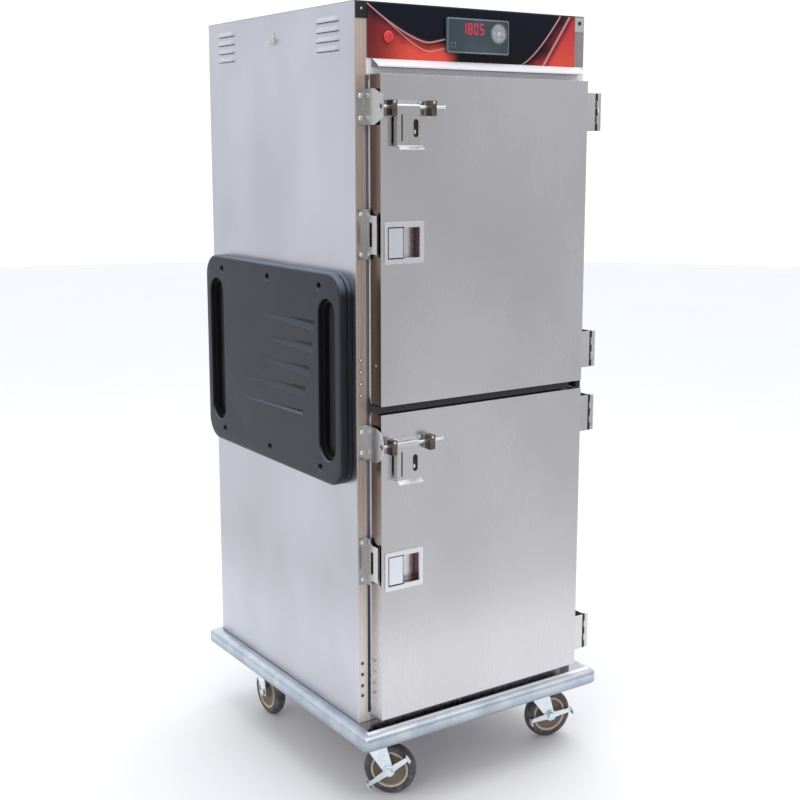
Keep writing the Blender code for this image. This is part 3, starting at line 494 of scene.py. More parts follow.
def grip_polymer():
    """The grip panels' moulding: night grey, with a painted highlight where it faces up, painted shade where
    it faces the front, and black painted shade inside the slots.
    """
    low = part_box("left_handle_panel")[0]
    paint = Paint("grip_polymer", (0.020, 0.024, 0.036), 0.42, 0.0, **{"Specular IOR Level": 0.32})
    grain = paint.noise(1400, (1, 1, 1), 2.0, 0.6)
    cloud = paint.noise(9.0)
    base = paint.mix(paint.across(cloud, 0.3, 0.72), (0.0145, 0.0175, 0.0270), (0.0215, 0.0255, 0.0380))
    # Painted shade on the faces that look to the front.
    front = paint.mix(paint.across(paint.facing("Y"), -0.8, -0.3, 1.0, 0.0), base, (0.006, 0.007, 0.011))
    # Painted highlight (the variable dusty): the faces that look up are painted pale blue-grey.
    dusty = paint.mix(paint.across(paint.facing("Z"), 0.05, 0.75), front, (0.13, 0.155, 0.20))
    # Black painted shade inside the grip slots.
    out = paint.math("ABSOLUTE", paint.axis("X"))
    deep = paint.math("LESS_THAN", out, abs(low.x) - 0.0040)
    along = paint.math("ABSOLUTE", paint.math("SUBTRACT", paint.axis("Y"), MIDDLE_Y))
    reach = paint.math("LESS_THAN", along, GRIP_Y + GRIP_HALF + 0.004)
    height = paint.within(paint.axis("Z"), GRIP_Z[0] - 0.004, GRIP_Z[1] + 0.004)
    paint.colour(paint.product(deep, reach, height), dusty, (0.005, 0.005, 0.007))
    paint.rough(cloud, 0.36, 0.48)
    paint.bump((grain, 0.22, 0.0002))
    return paint


def zinc():
    """Bright blue-white zinc plate with its faint spangle."""
    paint = Paint("zinc", (0.80, 0.86, 0.90), 0.30, 1.0)
    spangle = paint.add("ShaderNodeTexVoronoi", {"Vector": paint.place, "Scale": 240.0}, "Color")
    grey = paint.add("ShaderNodeRGBToBW", {"Color": spangle}, "Val")
    cloud = paint.noise(40)
    sheen = paint.across(paint.product(grey, cloud), 0.05, 0.45)
    paint.colour(sheen, (0.70, 0.78, 0.82), (0.86, 0.92, 0.95))
    paint.rough(grey, 0.26, 0.36, 0.2, 0.8)
    paint.bump((cloud, 0.05, 0.0004))
    return paint


def aluminium():
    """Anodised extrusion: scuffed sides, painted shade low down, and a painted highlight along the front
    rail's crest.
    """
    low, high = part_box("bumper")
    plate_low, plate_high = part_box("base_frame")
    inner = plate_low.y
    paint = Paint("aluminium", (0.42, 0.46, 0.52), 0.34, 1.0)
    fine = paint.noise(160, (1, 1, 9), 2.0, 0.6)
    cloud = paint.noise(16.0, (1, 1, 1), 4.0, 0.6)
    scuff = paint.across(paint.noise(38, (1, 1, 2), 5.0, 0.7), 0.60, 0.74)
    base = paint.mix(paint.across(cloud, 0.3, 0.7), (0.44, 0.49, 0.56), (0.60, 0.66, 0.70))
    rubbed = paint.mix(paint.product(scuff, 0.35), base, (0.72, 0.76, 0.80))
    # Painted shade, darker low down.
    under = paint.across(paint.axis("Z"), low.z, low.z + 0.62 * (high.z - low.z), 0.75, 0.0)
    shaded = paint.mix(under, rubbed, (0.26, 0.29, 0.36))
    # Painted highlight: a white, less metallic band along the crest of the front rail.
    upward = paint.across(paint.facing("Z"), 0.35, 0.70)
    band = paint.product(paint.across(paint.axis("Y"), inner - 0.0125, inner - 0.0095),
                         paint.across(paint.axis("Y"), inner + 0.0005, inner + 0.0015, 1.0, 0.0))
    ends = paint.within(paint.axis("X"), plate_low.x - 0.0080, plate_high.x + 0.0080)
    crest = paint.product(upward, band, ends)
    paint.colour(crest, shaded, (0.97, 0.98, 1.0))
    paint.put(paint.shader, {"Metallic": paint.across(crest, 0.0, 1.0, 1.0, 0.2)})
    paint.rough(fine, 0.27, 0.42)
    paint.bump((fine, 0.06, 0.0003), (cloud, 0.15, 0.001))
    return paint


def polymer(name, colour, roughness):
    """Moulded plastic or rubber with a fine texture and slight fading."""
    paint = Paint(name, colour, roughness)
    grain = paint.noise(1400, (1, 1, 1), 2.0, 0.6)
    cloud = paint.noise(9.0)
    faded = [c * 1.35 + 0.002 for c in colour]
    deep = [c * 0.82 for c in colour]
    paint.colour(paint.across(cloud, 0.3, 0.72), deep, faded)
    paint.rough(cloud, roughness - 0.05, roughness + 0.06)
    paint.bump((grain, 0.25, 0.0002))
    return paint


def key_silver():
    paint = Paint("key", (0.36, 0.38, 0.40), 0.35, 0.4)
    cloud = paint.noise(120)
    paint.colour(cloud, (0.28, 0.30, 0.32), (0.46, 0.48, 0.50))
    paint.rough(cloud, 0.3, 0.42)
    return paint


def lens():
    """The power switch's red cap, mottled and lit from behind."""
    paint = Paint("lens", (0.55, 0.02, 0.03), 0.20, 0.0, **{"Coat Weight": 0.3, "Coat Roughness": 0.1})
    cloud = paint.noise(420, (1, 1, 1), 2.0, 0.5)
    glow = paint.mix(paint.across(cloud, 0.35, 0.65), (0.50, 0.012, 0.02), (0.72, 0.04, 0.05))
    paint.put(paint.shader, {"Base Color": glow, "Emission Color": glow, "Emission Strength": 0.15})
    return paint


def digit():
    paint = Paint("digit", (0.8, 0.02, 0.04), 0.4)
    cloud = paint.noise(300)
    glow = paint.mix(cloud, (0.36, 0.008, 0.035), (0.52, 0.025, 0.075))
    paint.put(paint.shader, {"Base Color": glow, "Emission Color": glow, "Emission Strength": 0.75})
    return paint


def tyre():
    """Grey-violet rubber, dusty where it rolls."""
    paint = Paint("tyre", (0.075, 0.066, 0.082), 0.55)
    grain = paint.noise(900, (1, 1, 1), 2.0)
    dust = paint.noise(55, (1, 1, 1), 5.0, 0.7)
    paint.colour(paint.across(dust, 0.42, 0.72), (0.055, 0.047, 0.058), (0.17, 0.155, 0.165))
    paint.rough(dust, 0.45, 0.68)
    paint.bump((grain, 0.3, 0.0003))
    return paint


def graphic():
    """The printed front: night blue, a plain red glow low on the left and another rising on the right."""
    low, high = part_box("control_panel")
    paint = Paint("graphic", (0.02, 0.02, 0.03), 0.30, 0.0, **{"Specular IOR Level": 0.18})
    u = paint.across(paint.axis("X"), low.x, high.x, smooth=False)
    v = paint.across(paint.axis("Z"), low.z, high.z, smooth=False)
    drift = paint.across(paint.noise(9.0, (1, 1, 2.5)), 0.2, 0.8, -0.10, 0.10)

    def glow(distance, width):
        """1 on a line, falling to 0 at a width from it."""
        return paint.across(paint.math("ABSOLUTE", distance), 0.0, width, 1.0, 0.0)

    fall = paint.math("POWER", paint.across(u, 0.0, 0.28, 1.0, 0.0, smooth=False), 1.5)
    crest = paint.math("ADD", paint.product(fall, 0.66), paint.across(u, 0.24, 0.42, 0.32, 0.46))
    under = paint.math("SUBTRACT", crest, v)
    near = paint.across(u, 0.34, 0.42, 1.0, 0.0)
    body = paint.across(paint.math("ADD", under, drift), -0.02, 0.26)
    heat = paint.product(paint.across(u, 0.0, 0.22, 0.22, 1.0), body, near)
    second = paint.math("SUBTRACT", under, paint.across(u, 0.04, 0.30, 0.0, 0.17))
    lines = paint.product(paint.math("MAXIMUM", glow(under, 0.026), glow(second, 0.018)), near)

    rise = paint.math("POWER", v, 0.72)
    inner = paint.math("SUBTRACT", u, paint.math("ADD", paint.product(rise, 0.20), 0.72))
    outer = paint.math("SUBTRACT", u, paint.math("ADD", paint.product(v, 0.135), 0.835))
    sheet = paint.across(paint.math("ADD", inner, paint.product(drift, 0.3)), 0.0, 0.10, 0.0, 0.38)
    flare = paint.across(outer, 0.0, 0.04, 0.0, 0.92)
    far = paint.math("MAXIMUM", sheet, flare)
    streaks = paint.math("MAXIMUM", glow(inner, 0.007), glow(outer, 0.009))

    night = paint.mix(v, (0.003, 0.003, 0.008), (0.004, 0.006, 0.016))
    red = paint.mix(paint.across(v, 0.0, 0.9), (0.84, 0.095, 0.065), (0.58, 0.050, 0.060))
    lit = paint.mix(paint.math("MAXIMUM", heat, far), night, red)
    paint.colour(paint.product(paint.math("MAXIMUM", lines, streaks), 0.80), lit, (0.85, 0.42, 0.42))
    paint.rough(paint.noise(60), 0.22, 0.32)
    return paint


MATERIALS = make_materials()


# Pieces


def piece(name, mesh, finish, body="cabinet", smooth=40, bevel=0.0, stands_for=()):
    """A named piece that rides on a body, shaded smooth up to an angle in degrees."""
    mesh = mesh.copy()
    mesh.name = name
    mesh.materials.clear()
    mesh.materials.append(MATERIALS[finish])
    if smooth:
        mesh.shade_smooth()
        mesh.set_sharp_from_angle(angle=math.radians(smooth))
    obj = placed(name, mesh)
    if bevel:
        soften(obj, bevel)
    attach(obj, body)
    if stands_for:
        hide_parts(*stands_for)
    return obj


def soften(obj, width):
    """Rounds an object's edges, which a real sheet or casting has."""
    for name, kind, settings in (
            ("weld", "WELD", {"merge_threshold": 0.00001}),
            ("flat", "DECIMATE", {"decimate_type": "DISSOLVE", "angle_limit": math.radians(1)}),
            ("edge", "BEVEL", {"width": width, "segments": 2, "limit_method": "ANGLE",
                               "angle_limit": math.radians(40), "harden_normals": True})):
        modifier = obj.modifiers.new(name, kind)
        for key, value in settings.items():
            setattr(modifier, key, value)


PLACE_WORDS = {"upper", "lower", "left", "right", "front", "rear", "low", "high"}
# The finish of each kind of node, and the width that its edges are rounded by
FINISHES = {
    "outer_wrap": ("side_steel", 0.0004),
    "top_panel": ("top_steel", 0.0004),
    "face_frame": ("post_steel", 0.0005),
    "inner_liner": ("liner_steel", 0.0),
    "insulation_blanket": ("insulation", 0.0),
    "slide_rack": ("liner_steel", 0.0),
    "heater_cover": ("liner_steel", 0.0003),
    "blower_wheel": ("zinc", 0.0),
    "heating_element": ("heater", 0.0),
    "water_pan": ("liner_steel", 0.0),
    "control_panel": ("graphic", 0.0003),
    "controller_bezel": ("controller", 0.0),
    "keypad_button": ("key", 0.0003),
    "power_switch": ("lens", 0.0),
    "awning": ("awning_steel", 0.0005),
    "handle_panel": ("polymer", 0.0),
    "base_frame": ("base_steel", 0.0006),
    "bumper": ("aluminium", 0.0),
    "power_inlet": ("pit", 0.0005),
    "door_outer_pan": ("door_steel", 0.0010),
    "door_inner_pan": ("inner_pan_steel", 0.0005),
    "door_gasket": ("door_gasket", 0.0015),
    "paddle_housing": ("recess_steel", 0.0005),
    "paddle": ("paddle_steel", 0.0004),
    "bolt_guide": ("guide_steel", 0.0004),
    "slide_bolt": ("zinc", 0.0),
    "padlock_hasp": ("fitting_steel", 0.0004),
    "bolt_keeper": ("fitting_steel", 0.0004),
    "latch_strike": ("fitting_steel", 0.0004),
    "hinge_frame_leaf": ("fitting_steel", 0.0003),
    "hinge_door_leaf": ("fitting_steel", 0.0003),
    "caster_fork": ("zinc", 0.0005),
    "wheel": ("tyre", 0.0),
    "brake_lever": ("zinc", 0.0004),
}


def paint_nodes():
    """Gives every CAD node its finish, and rounds the edges of those that show."""
    for name, obj in NODES.items():
        finish, width = FINISHES["_".join(word for word in name.split("_") if word not in PLACE_WORDS)]
        obj.data.materials.clear()
        obj.data.materials.append(MATERIALS[finish])
        if width:
            soften(obj, width)


# Handle panels

HANDLE_ARC = 12
GRIP_SCREW_LEVELS, GRIP_SCREW_REACH = (0.8100, 1.2305), 0.246
# (inset, depth) of the moulding's edge, from the wall to its face
MOULDING = (
    (0.0010, 0.0), (0.0, 0.0010), (0.0, 0.0100), (0.0016, 0.0113), (0.0042, 0.0120),
    (0.0042, 0.0142), (0.0016, 0.0149), (0.0, 0.0162), (0.0, 0.0262), (0.0006, 0.0284),
    (0.0022, 0.0303), (0.0046, 0.0314), (0.0075, 0.0320 - SKIN),
)
# (growth, depth) of a grip slot and (radius, depth) of a screw hole, from the face inwards
SLOT = (
    (0.0020, -0.004), (0.0010, 0.0002), (-0.0002, 0.0010), (-0.0008, 0.0026), (-0.0010, 0.0110),
    (-0.0090, 0.0112), (-0.0095, 0.0255),
)
SCREW_HOLE = ((0.0104, -0.002), (0.0096, 0.0006), (0.0090, 0.0012), (0.0086, 0.0100))
# Fluting: each groove's rear end and its level there, its front end, and its top and bottom there
GROOVES = (
    (0.060, 1.141, -0.226, 1.1500, 1.1245),
    (0.016, 1.083, -0.216, 1.0980, 1.0720),
    (0.046, 1.029, -0.202, 1.0410, 1.0150),
    (0.136, 0.972, -0.180, 0.9900, 0.9620),
    (0.158, 0.915, -0.166, 0.9310, 0.9180),
)


def groove_blade(face, side, rear, level, front, top, bottom):
    """The wedge that cuts one groove, shallow at its rear end and deep under its front end's top."""
    thin, shallow, deep = 0.0014, 0.0008, 0.0068
    back, ahead = MIDDLE_Y + rear, MIDDLE_Y + front
    blade = bmesh.new()
    outer = [blade.verts.new((face + side * 0.002, y, z)) for y, z in (
        (back, level + thin), (back, level - thin), (ahead, bottom), (ahead, top))]
    inner = [blade.verts.new((face - side * depth, y, z)) for depth, y, z in (
        (shallow, back, level + thin / 2), (shallow, back, level - thin / 2),
        (shallow, ahead, bottom + 0.001), (deep, ahead, top - 0.002))]
    blade.faces.new(outer)
    blade.faces.new(inner)
    bridge(blade, outer, inner)
    return finished(blade)


def make_handle_panel(name, side):
    """Two moulded layers with a groove between them; grip slots, fluting and six deep screw holes."""
    low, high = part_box(f"{name}_handle_panel")
    wall = side * min(abs(low.x), abs(high.x))
    face = side * max(abs(low.x), abs(high.x))
    slots = (MIDDLE_Y - GRIP_Y, MIDDLE_Y + GRIP_Y)

    def outline(inset):
        return rounded(low.y + inset, high.y - inset, low.z + inset, high.z - inset,
                       0.055 - inset, HANDLE_ARC)

    def slot_outline(y, grow):
        bottom, top = GRIP_Z[0] + GRIP_HALF, GRIP_Z[1] - GRIP_HALF
        return (arc((y, top), GRIP_HALF + grow, 0, 180, 16)
                + arc((y, bottom), GRIP_HALF + grow, 180, 360, 16))

    shell = lofted("x", [(outline(inset), wall + side * depth) for inset, depth in MOULDING])
    tools = [lofted("x", [(slot_outline(y, grow), face - side * depth) for grow, depth in SLOT])
             for y in slots]
    tools += [groove_blade(face, side, *groove) for groove in GROOVES]
    screws, washers = [], []
    for z in GRIP_SCREW_LEVELS:
        for y in (-GRIP_SCREW_REACH, 0.0, GRIP_SCREW_REACH):
            centre = (MIDDLE_Y + y, z)
            hole = [(circle(centre, radius), face - side * depth) for radius, depth in SCREW_HOLE]
            tools.append(lofted("x", hole))
            washers.append(prism("x", circle(centre, 0.0084), face - side * 0.0099, face - side * 0.0092))
            screws.append(dome("x", (centre[0], z - 0.0030), face - side * 0.0093, 0.0040, side * 0.0030))
    piece(f"{name}_grip_panel", cut(shell, *tools), "grip_polymer", smooth=32,
          stands_for=(f"{name}_handle_panel",))
    piece(f"{name}_grip_panel_screws", joined(*screws), "zinc")
    # Black sheets at the bottoms of the grip slots, painted shade, and black washers under the screws.
    slot_shade_pads = [prism("x", slot_outline(y, -0.0100), face - side * 0.0256, face - side * 0.0235) for y in slots]
    piece(f"{name}_grip_slot_shade_and_washers", joined(*slot_shade_pads, *washers), "pit")


# Sides


# Each group of louvres: its front and rear ends, its top and its pitch
LOUVRES = ((0.2335, 0.3230, 1.8250, 0.0205), (-0.2670, -0.1660, 1.8230, 0.0208))


def make_louvres(name, side):
    """Two groups of four pressed louvres high on each side, open underneath, where black strips of painted
    shade stand for the openings.
    """
    hoods, slits = [], []
    depth, rise = 0.0042, 0.0130
    for start, end, top, pitch in LOUVRES:
        for n in range(4):
            z = top - n * pitch
            rings = []
            for k in range(17):
                share = k / 16
                y = start + (end - start) * share
                bulge = min(1.0, 6.0 * min(share, 1 - share)) ** 0.5 if 0 < share < 1 else 0.04
                outline = []
                for t in range(9):
                    turn = math.pi / 2 * t / 8
                    out = SIDE - SKIN + depth * bulge * math.sin(turn) ** 1.6
                    outline.append((side * out, z - rise * t / 8))
                outline.append((side * (SIDE - SKIN), z - rise))
                rings.append((outline, y))
            hoods.append(lofted("y", rings))
            # Painted shade: a black strip under each lip.
            slits.append(box(sorted((side * SIDE, side * (SIDE + depth * 0.8))),
                             (start + 0.006, end - 0.006), (z - rise - 0.0012, z - rise + 0.0004)))
    piece(f"{name}_side_louvres", joined(*hoods), "side_steel", smooth=50)
    piece(f"{name}_louvre_slit_shade", joined(*slits), "pit")


def make_hook():
    """A small bent clip high on the left side, and its rivet."""
    y, z = MIDDLE_Y + 0.0075, 1.7900
    wall = -SIDE - SKIN
    plate = prism("x", [(y - 0.0095, z - 0.014), (y + 0.0095, z - 0.014), (y + 0.0040, z + 0.015),
                        (y - 0.0040, z + 0.015)], wall - 0.0012, wall)
    tongue = prism("y", [(wall, z - 0.0140), (wall - 0.0110, z - 0.0085), (wall - 0.0125, z + 0.0010),
                         (wall - 0.0112, z + 0.0012), (wall - 0.0098, z - 0.0074), (wall, z - 0.0122)],
                   y - 0.0085, y + 0.0085)
    piece("left_side_hook", joined(plate, tongue), "fitting_steel", bevel=0.0003)
    rivet = dome("x", (y, z + 0.0050), wall - 0.0010, 0.0030, -0.0016)
    piece("left_side_hook_rivet", rivet, "zinc")


# Front fasteners and trims

POST_RIVET_X = -0.3140
POST_RIVETS = (0.3590, 0.3320, 0.3045, 0.2800, 1.0720, 1.0450, 1.0180, 0.9920)
# As in the CAD: the hinge straps' right end, the knuckles of a hinge and the depth of a hasp's lip
STRAP_END = 0.3185
KNUCKLES = 5
HASP_LIP = 0.0122


def make_rivets():
    """Rivets on the left post, its keepers and its strikes."""
    heads = [dome("y", (POST_RIVET_X, z), FRONT + SKIN, 0.0030, -0.0020) for z in POST_RIVETS]
    piece("post_rivets", joined(*heads), "rivet")
    rings = [prism("y", circle((POST_RIVET_X, z), 0.0044, 18), FRONT - 0.0002, FRONT + SKIN)
             for z in POST_RIVETS]
    piece("post_rivet_rings", joined(*rings), "dark_fitting")
    for door in DOORS:
        for part, reach, radius in (("bolt_keeper", 0.0240, 0.0052), ("latch_strike", 0.0440, 0.0046)):
            low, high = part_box(f"{door}_{part}")
            middle = (low.z + high.z) / 2
            heads = [dome("y", (low.x + 0.0095, middle + way * reach), FRONT - 0.0022, radius, -0.0030)
                     for way in (-1, 1)]
            piece(f"{door}_{part}_rivets", joined(*heads), "bright_steel")


def make_latch_details(door):
    """The screws of the bolt's guide plate, and a rivet on the door's edge."""
    low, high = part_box(f"{door}_bolt_guide")
    pan_low, pan_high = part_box(f"{door}_door_outer_pan")
    body = f"{door}_door"
    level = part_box(f"{door}_slide_bolt")[0].z + 0.0050
    screws = [dome("y", (x, level + 0.0095), low.y + 0.0002, 0.0028, -0.0014)
              for x in (low.x + 0.0065, high.x - 0.0070)]
    screws += [dome("y", (x, level + 0.0085), pan_low.y - 0.0020, 0.0030, -0.0018)
               for x in (low.x + 0.024, high.x - 0.026)]
    piece(f"{door}_guide_screws", joined(*screws), "bright_steel", body)

    edge = dome("x", ((pan_low.y + pan_high.y) / 2, pan_low.z + 0.090), pan_low.x, 0.0030, -0.0010)
    piece(f"{door}_door_edge_rivet", edge, "fitting_steel", body)


def make_hinge_gaps(door):
    """Painted shade: dark strips in the gap between each hinge's strap and its barrel, toothed by the
    knuckles.
    """
    gap_shade_strips = []
    tooth = 0.0016 if door == "upper" else 0.0
    for place in ("low", "high"):
        low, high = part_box(f"{door}_hinge_door_leaf_{place}")
        step = (high.z - low.z) / KNUCKLES
        for n in range(KNUCKLES):
            wide = 0.0086 if n % 2 == 0 else 0.0060
            gap_shade_strips.append(box((STRAP_END + SKIN, STRAP_END + wide), (low.y + 0.0014, low.y + 0.0019),
                              (low.z + n * step + tooth / 2, low.z + (n + 1) * step - tooth / 2)))
    piece(f"{door}_hinge_gap_shade", joined(*gap_shade_strips), "pit", f"{door}_door")


def make_paddle_outline(door):
    """Painted shade: the dark line of the gap round the paddle, on the cup's rim."""
    low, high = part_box(f"{door}_paddle")
    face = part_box(f"{door}_paddle_housing")[0].y
    line, clear, near = 0.0022, 0.0005, (face - SKIN, face + SKIN)
    left = low.x - 0.0010
    bars = [box((left - line, left), near, (low.z - line - clear, high.z + line + clear))]
    for bottom in (low.z - line - clear, high.z + clear):
        bars.append(box((left - SKIN, high.x - 0.0010), near, (bottom, bottom + line)))
    piece(f"{door}_paddle_gap_shade", joined(*bars), "pit", f"{door}_door", 0)


def make_hasp_back(door):
    """Painted shade that shows through the hasp's slit and oval, and a painted glint in the oval."""
    low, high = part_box(f"{door}_padlock_hasp")
    face = low.y + HASP_LIP + 0.0006 + SKIN
    right = high.x - 0.0050
    sheet = prism("y", rectangle(low.x + 0.0080, right - 0.0020, low.z + 0.0150, high.z - 0.0180),
                  face, face + 0.0003)
    glint = prism("y", rounded(right - 0.0150, right - 0.0105, low.z + 0.0330, low.z + 0.0420, 0.0018),
                  face - 0.0006, face - 0.0001)
    piece(f"{door}_hasp_slot_shade", sheet, "pit", f"{door}_hasp")
    piece(f"{door}_hasp_glint", glint, "bright_steel", f"{door}_hasp")


def make_gap_seal():
    """The black seal along the upper door's lower edge, which closes the gap between the doors; its black is
    partly the rubber and partly painted shade for the shadow in the gap.
    """
    low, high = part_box("upper_door_outer_pan")
    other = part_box("lower_door_outer_pan")[1]
    top, bottom = low.z - 0.0004, other.z + 0.0016
    near, far = low.y + 0.0050, high.y - 0.0010
    section = [(far, bottom + 0.002), (far, top), (near, top), (near, top - 0.004)]
    section += arc((near + 0.0045, bottom + 0.0060), 0.0060, 160, 270, 6)
    long = prism("x", section, low.x - 0.0060, high.x - 0.0360)
    short = prism("x", section, high.x - 0.0130, high.x - 0.0020)
    piece("upper_door_gap_seal", joined(long, short), "gasket", "upper_door", 50)


# Control panel

READING = "1805"
SEGMENTS = {"0": "abcdef", "1": "bc", "5": "acdfg", "8": "abcdefg"}


def segment_boxes(letter, left, bottom, width, height, stroke):
    """The strokes of one seven-segment figure, as rectangles in the panel's plane."""
    right, top, middle = left + width, bottom + height, bottom + height / 2
    gap = stroke * 0.35
    places = {
        "a": (left + gap, right - gap, top - stroke, top),
        "d": (left + gap, right - gap, bottom, bottom + stroke),
        "g": (left + gap, right - gap, middle - stroke / 2, middle + stroke / 2),
        "b": (right - stroke, right, middle + gap, top - gap),
        "c": (right - stroke, right, bottom + gap, middle - gap),
        "f": (left, left + stroke, middle + gap, top - gap),
        "e": (left, left + stroke, bottom + gap, middle - gap),
    }
    return [places[s] for s in SEGMENTS[letter]]


def framed(outer, inner, front, back):
    """A thin frame in the panel's plane: an outline with another cut out of it."""
    return cut(prism("y", outer, front, back), prism("y", inner, front - 0.01, back + 0.01))


def make_controls():
    """The display's digits, the controller's border and mark, and the round key's arrows and collar."""
    low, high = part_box("controller_bezel")
    face = low.y
    display_left, display_bottom = low.x + 0.042, low.z + 0.0420
    width, height, stroke, step = 0.0118, 0.0250, 0.0030, 0.0165
    outlines = []
    for n, letter in enumerate(READING):
        strokes = segment_boxes(letter, display_left + n * step, display_bottom, width, height, stroke)
        outlines += [rounded(*sides, stroke * 0.3, 2) for sides in strokes]
    point = display_left + 3 * step - 0.0027
    outlines.append(circle((point, display_bottom + 0.0012), 0.0012, 10))
    bars = [prism("y", outline, face - 0.0004, face + 0.0002) for outline in outlines]
    piece("display_digits", joined(*bars), "digit", smooth=0)

    outer, inner = (rounded(low.x + inset, high.x - inset, low.z + inset, high.z - inset, radius)
                    for inset, radius in ((0.0016, 0.0035), (0.0034, 0.0025)))
    piece("controller_border", framed(outer, inner, face - 0.0005, face + 0.0010), "border",
          bevel=0.0002)

    left, right, bottom, top = low.x + 0.0110, low.x + 0.0240, low.z + 0.0130, low.z + 0.0230
    line = 0.0009
    window = rectangle(left + line, right - line, bottom + line, top - line)
    mark = framed(rectangle(left, right, bottom, top), window, face - 0.0003, face + 0.0006)
    piece("controller_mark", mark, "border")

    key_low, key_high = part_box("keypad_button")
    centre = ((key_low.x + key_high.x) / 2, (key_low.z + key_high.z) / 2)
    radius = (key_high.x - key_low.x) / 2
    marks = []
    for turn in range(4):
        angle = math.pi / 2 * turn
        arrow = [(centre[0] + out * math.cos(angle) - aside * math.sin(angle),
                  centre[1] + out * math.sin(angle) + aside * math.cos(angle))
                 for out, aside in ((0.0155, 0.0), (0.0105, 0.0036), (0.0105, -0.0036))]
        marks.append(prism("y", arrow, key_low.y - 0.0004, key_low.y + 0.0003))
    marks.append(dome("y", centre, key_low.y + 0.0003, 0.0055, -0.0011))
    piece("keypad_marks", joined(*marks), "key_mark", "keypad")

    collar = turned("y", [(radius + 0.0008, face + 0.0002), (radius + 0.0026, face + 0.0002),
                          (radius + 0.0024, face - 0.0008), (radius + 0.0012, face - 0.0010)], centre)
    piece("keypad_collar", collar, "border")


def make_top_corners():
    """The panel's clamp plates at the top of both posts, each held by a screw."""
    panel_low, panel_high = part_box("control_panel")
    # The two plates are the same steel: the left one is painted black as painted shade, the right one grey.
    clamps = (("left", -SIDE + 0.0010, panel_low.x - 0.0008, "pit", 0.0026, "bright_steel"),
              ("right", panel_high.x + 0.0008, SIDE - 0.0010, "fitting_steel", 0.0050, "pit"))
    for name, left, right, finish, radius, tone in clamps:
        plate = prism("y", rectangle(left, right, panel_high.z - 0.0330, panel_high.z + 0.0010),
                      FRONT - 0.0016, FRONT + SKIN)
        piece(f"{name}_panel_clamp", plate, finish, bevel=0.0004)
        screw = dome("y", ((left + right) / 2, panel_high.z - 0.0130), FRONT - 0.0015, radius, -0.0020)
        piece(f"{name}_panel_clamp_screw", screw, tone)


# Bumper


def make_bumper():
    """The base's extrusion with rounded corners, in a finer section than the CAD's."""
    low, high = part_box("bumper")
    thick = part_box("base_frame")[0].x - low.x
    middle = (low.z + high.z) / 2
    section = [(0.0, high.z - 0.0002), (0.0085, high.z - 0.0002), (0.0135, high.z - 0.0022)]
    section += [(thick - 0.0125 + y, high.z - 0.0155 + z) for y, z in arc((0, 0), 0.0122, 72, 6, 8)]
    section += [(thick - 0.0008, middle + 0.003), (thick - 0.0008, middle - 0.003)]
    section += [(thick - 0.0100 + y, low.z + 0.0100 + z) for y, z in arc((0, 0), 0.0098, -8, -84, 7)]
    section += [(0.0, low.z + 0.0002)]
    corner_radius = 0.0180
    corners = ((high.x, high.y, 1, 1, 0), (low.x, high.y, -1, 1, 90),
               (low.x, low.y, -1, -1, 180), (high.x, low.y, 1, -1, 270))
    bm = bmesh.new()
    loops = []
    for x, y, way_x, way_y, start in corners:
        pivot_x, pivot_y = x - way_x * corner_radius, y - way_y * corner_radius
        for n in range(9):
            turn = math.radians(start + 90 * n / 8)
            loop = []
            for out, z in section:
                radius = out - (thick - corner_radius)
                along = (math.cos(turn), math.sin(turn)) if radius > 0 else (way_x, way_y)
                loop.append(bm.verts.new((pivot_x + radius * along[0], pivot_y + radius * along[1], z)))
            loops.append(loop)
    for one, two in zip(loops, loops[1:] + loops[:1]):
        bridge(bm, one, two)
    bmesh.ops.remove_doubles(bm, verts=bm.verts, dist=0.000001)
    piece("bumper_rails", finished(bm), "aluminium", smooth=30, stands_for=("bumper",))


# Casters


# Half sections of (radius, distance from the wheel's middle plane)
TYRE = (
    (0.0455, 0.0140), (0.0470, 0.0151),
    *((0.0520 + r, 0.0058 + y) for r, y in arc((0, 0), 0.0096, 78, 62, 2)),
    (0.0575, 0.0138), (0.0605, 0.0110), (0.0624, 0.0074), (0.0633, 0.0036),
)
RIM = ((0.0400, 0.0092), (0.0405, 0.0142), (0.0450, 0.0148), (0.0457, 0.0138))
HUB = (
    (0.0062, 0.0163), (0.0135, 0.0163), (0.0155, 0.0150), (0.0165, 0.0085), (0.0300, 0.0070),
    (0.0385, 0.0084), (0.0402, 0.0090),
)


def make_wheel(corner):
    """A rounded tyre on a cream rim, with a stepped tan hub round the axle."""
    wheel = f"{corner}_wheel"
    joint = next(j for j in frame["joints"] if j["child"] == wheel)
    axis = Vector(joint["axis"]).normalized()
    turn = (Matrix.Translation(Vector(joint["pos_m"]))
            @ Vector((0, 1, 0)).rotation_difference(axis).to_matrix().to_4x4())
    for name, half, finish, smooth, stands_for in (
            (f"{corner}_tyre", TYRE, "tyre", 50, (wheel,)),
            (f"{wheel}_rim", RIM, "rim_cream", 30, ()),
            (f"{corner}_hub", HUB, "hub_tan", 30, ())):
        profile = [*half, *((radius, -along) for radius, along in reversed(half))]
        mesh = turned("y", profile, (0, 0), 64)
        mesh.transform(turn)
        piece(name, mesh, finish, wheel, smooth, stands_for=stands_for)


# Back


def make_back():
    """Screws down the back's edges and beside the power inlet."""
    heads = [dome("y", (x, 0.270 + 0.215 * n), REAR - SKIN, 0.0042, 0.0020)
             for x in (-0.300, 0.300) for n in range(8)]
    piece("back_screws", joined(*heads), "fitting_steel")
    low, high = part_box("power_inlet")
    x, z = (low.x + high.x) / 2, (low.z + high.z) / 2
    screws = [dome("y", (x + way * 0.0285, z), high.y - 0.0004, 0.0034, 0.0014) for way in (-1, 1)]
    piece("power_inlet_screws", joined(*screws), "zinc")


# Stage and camera

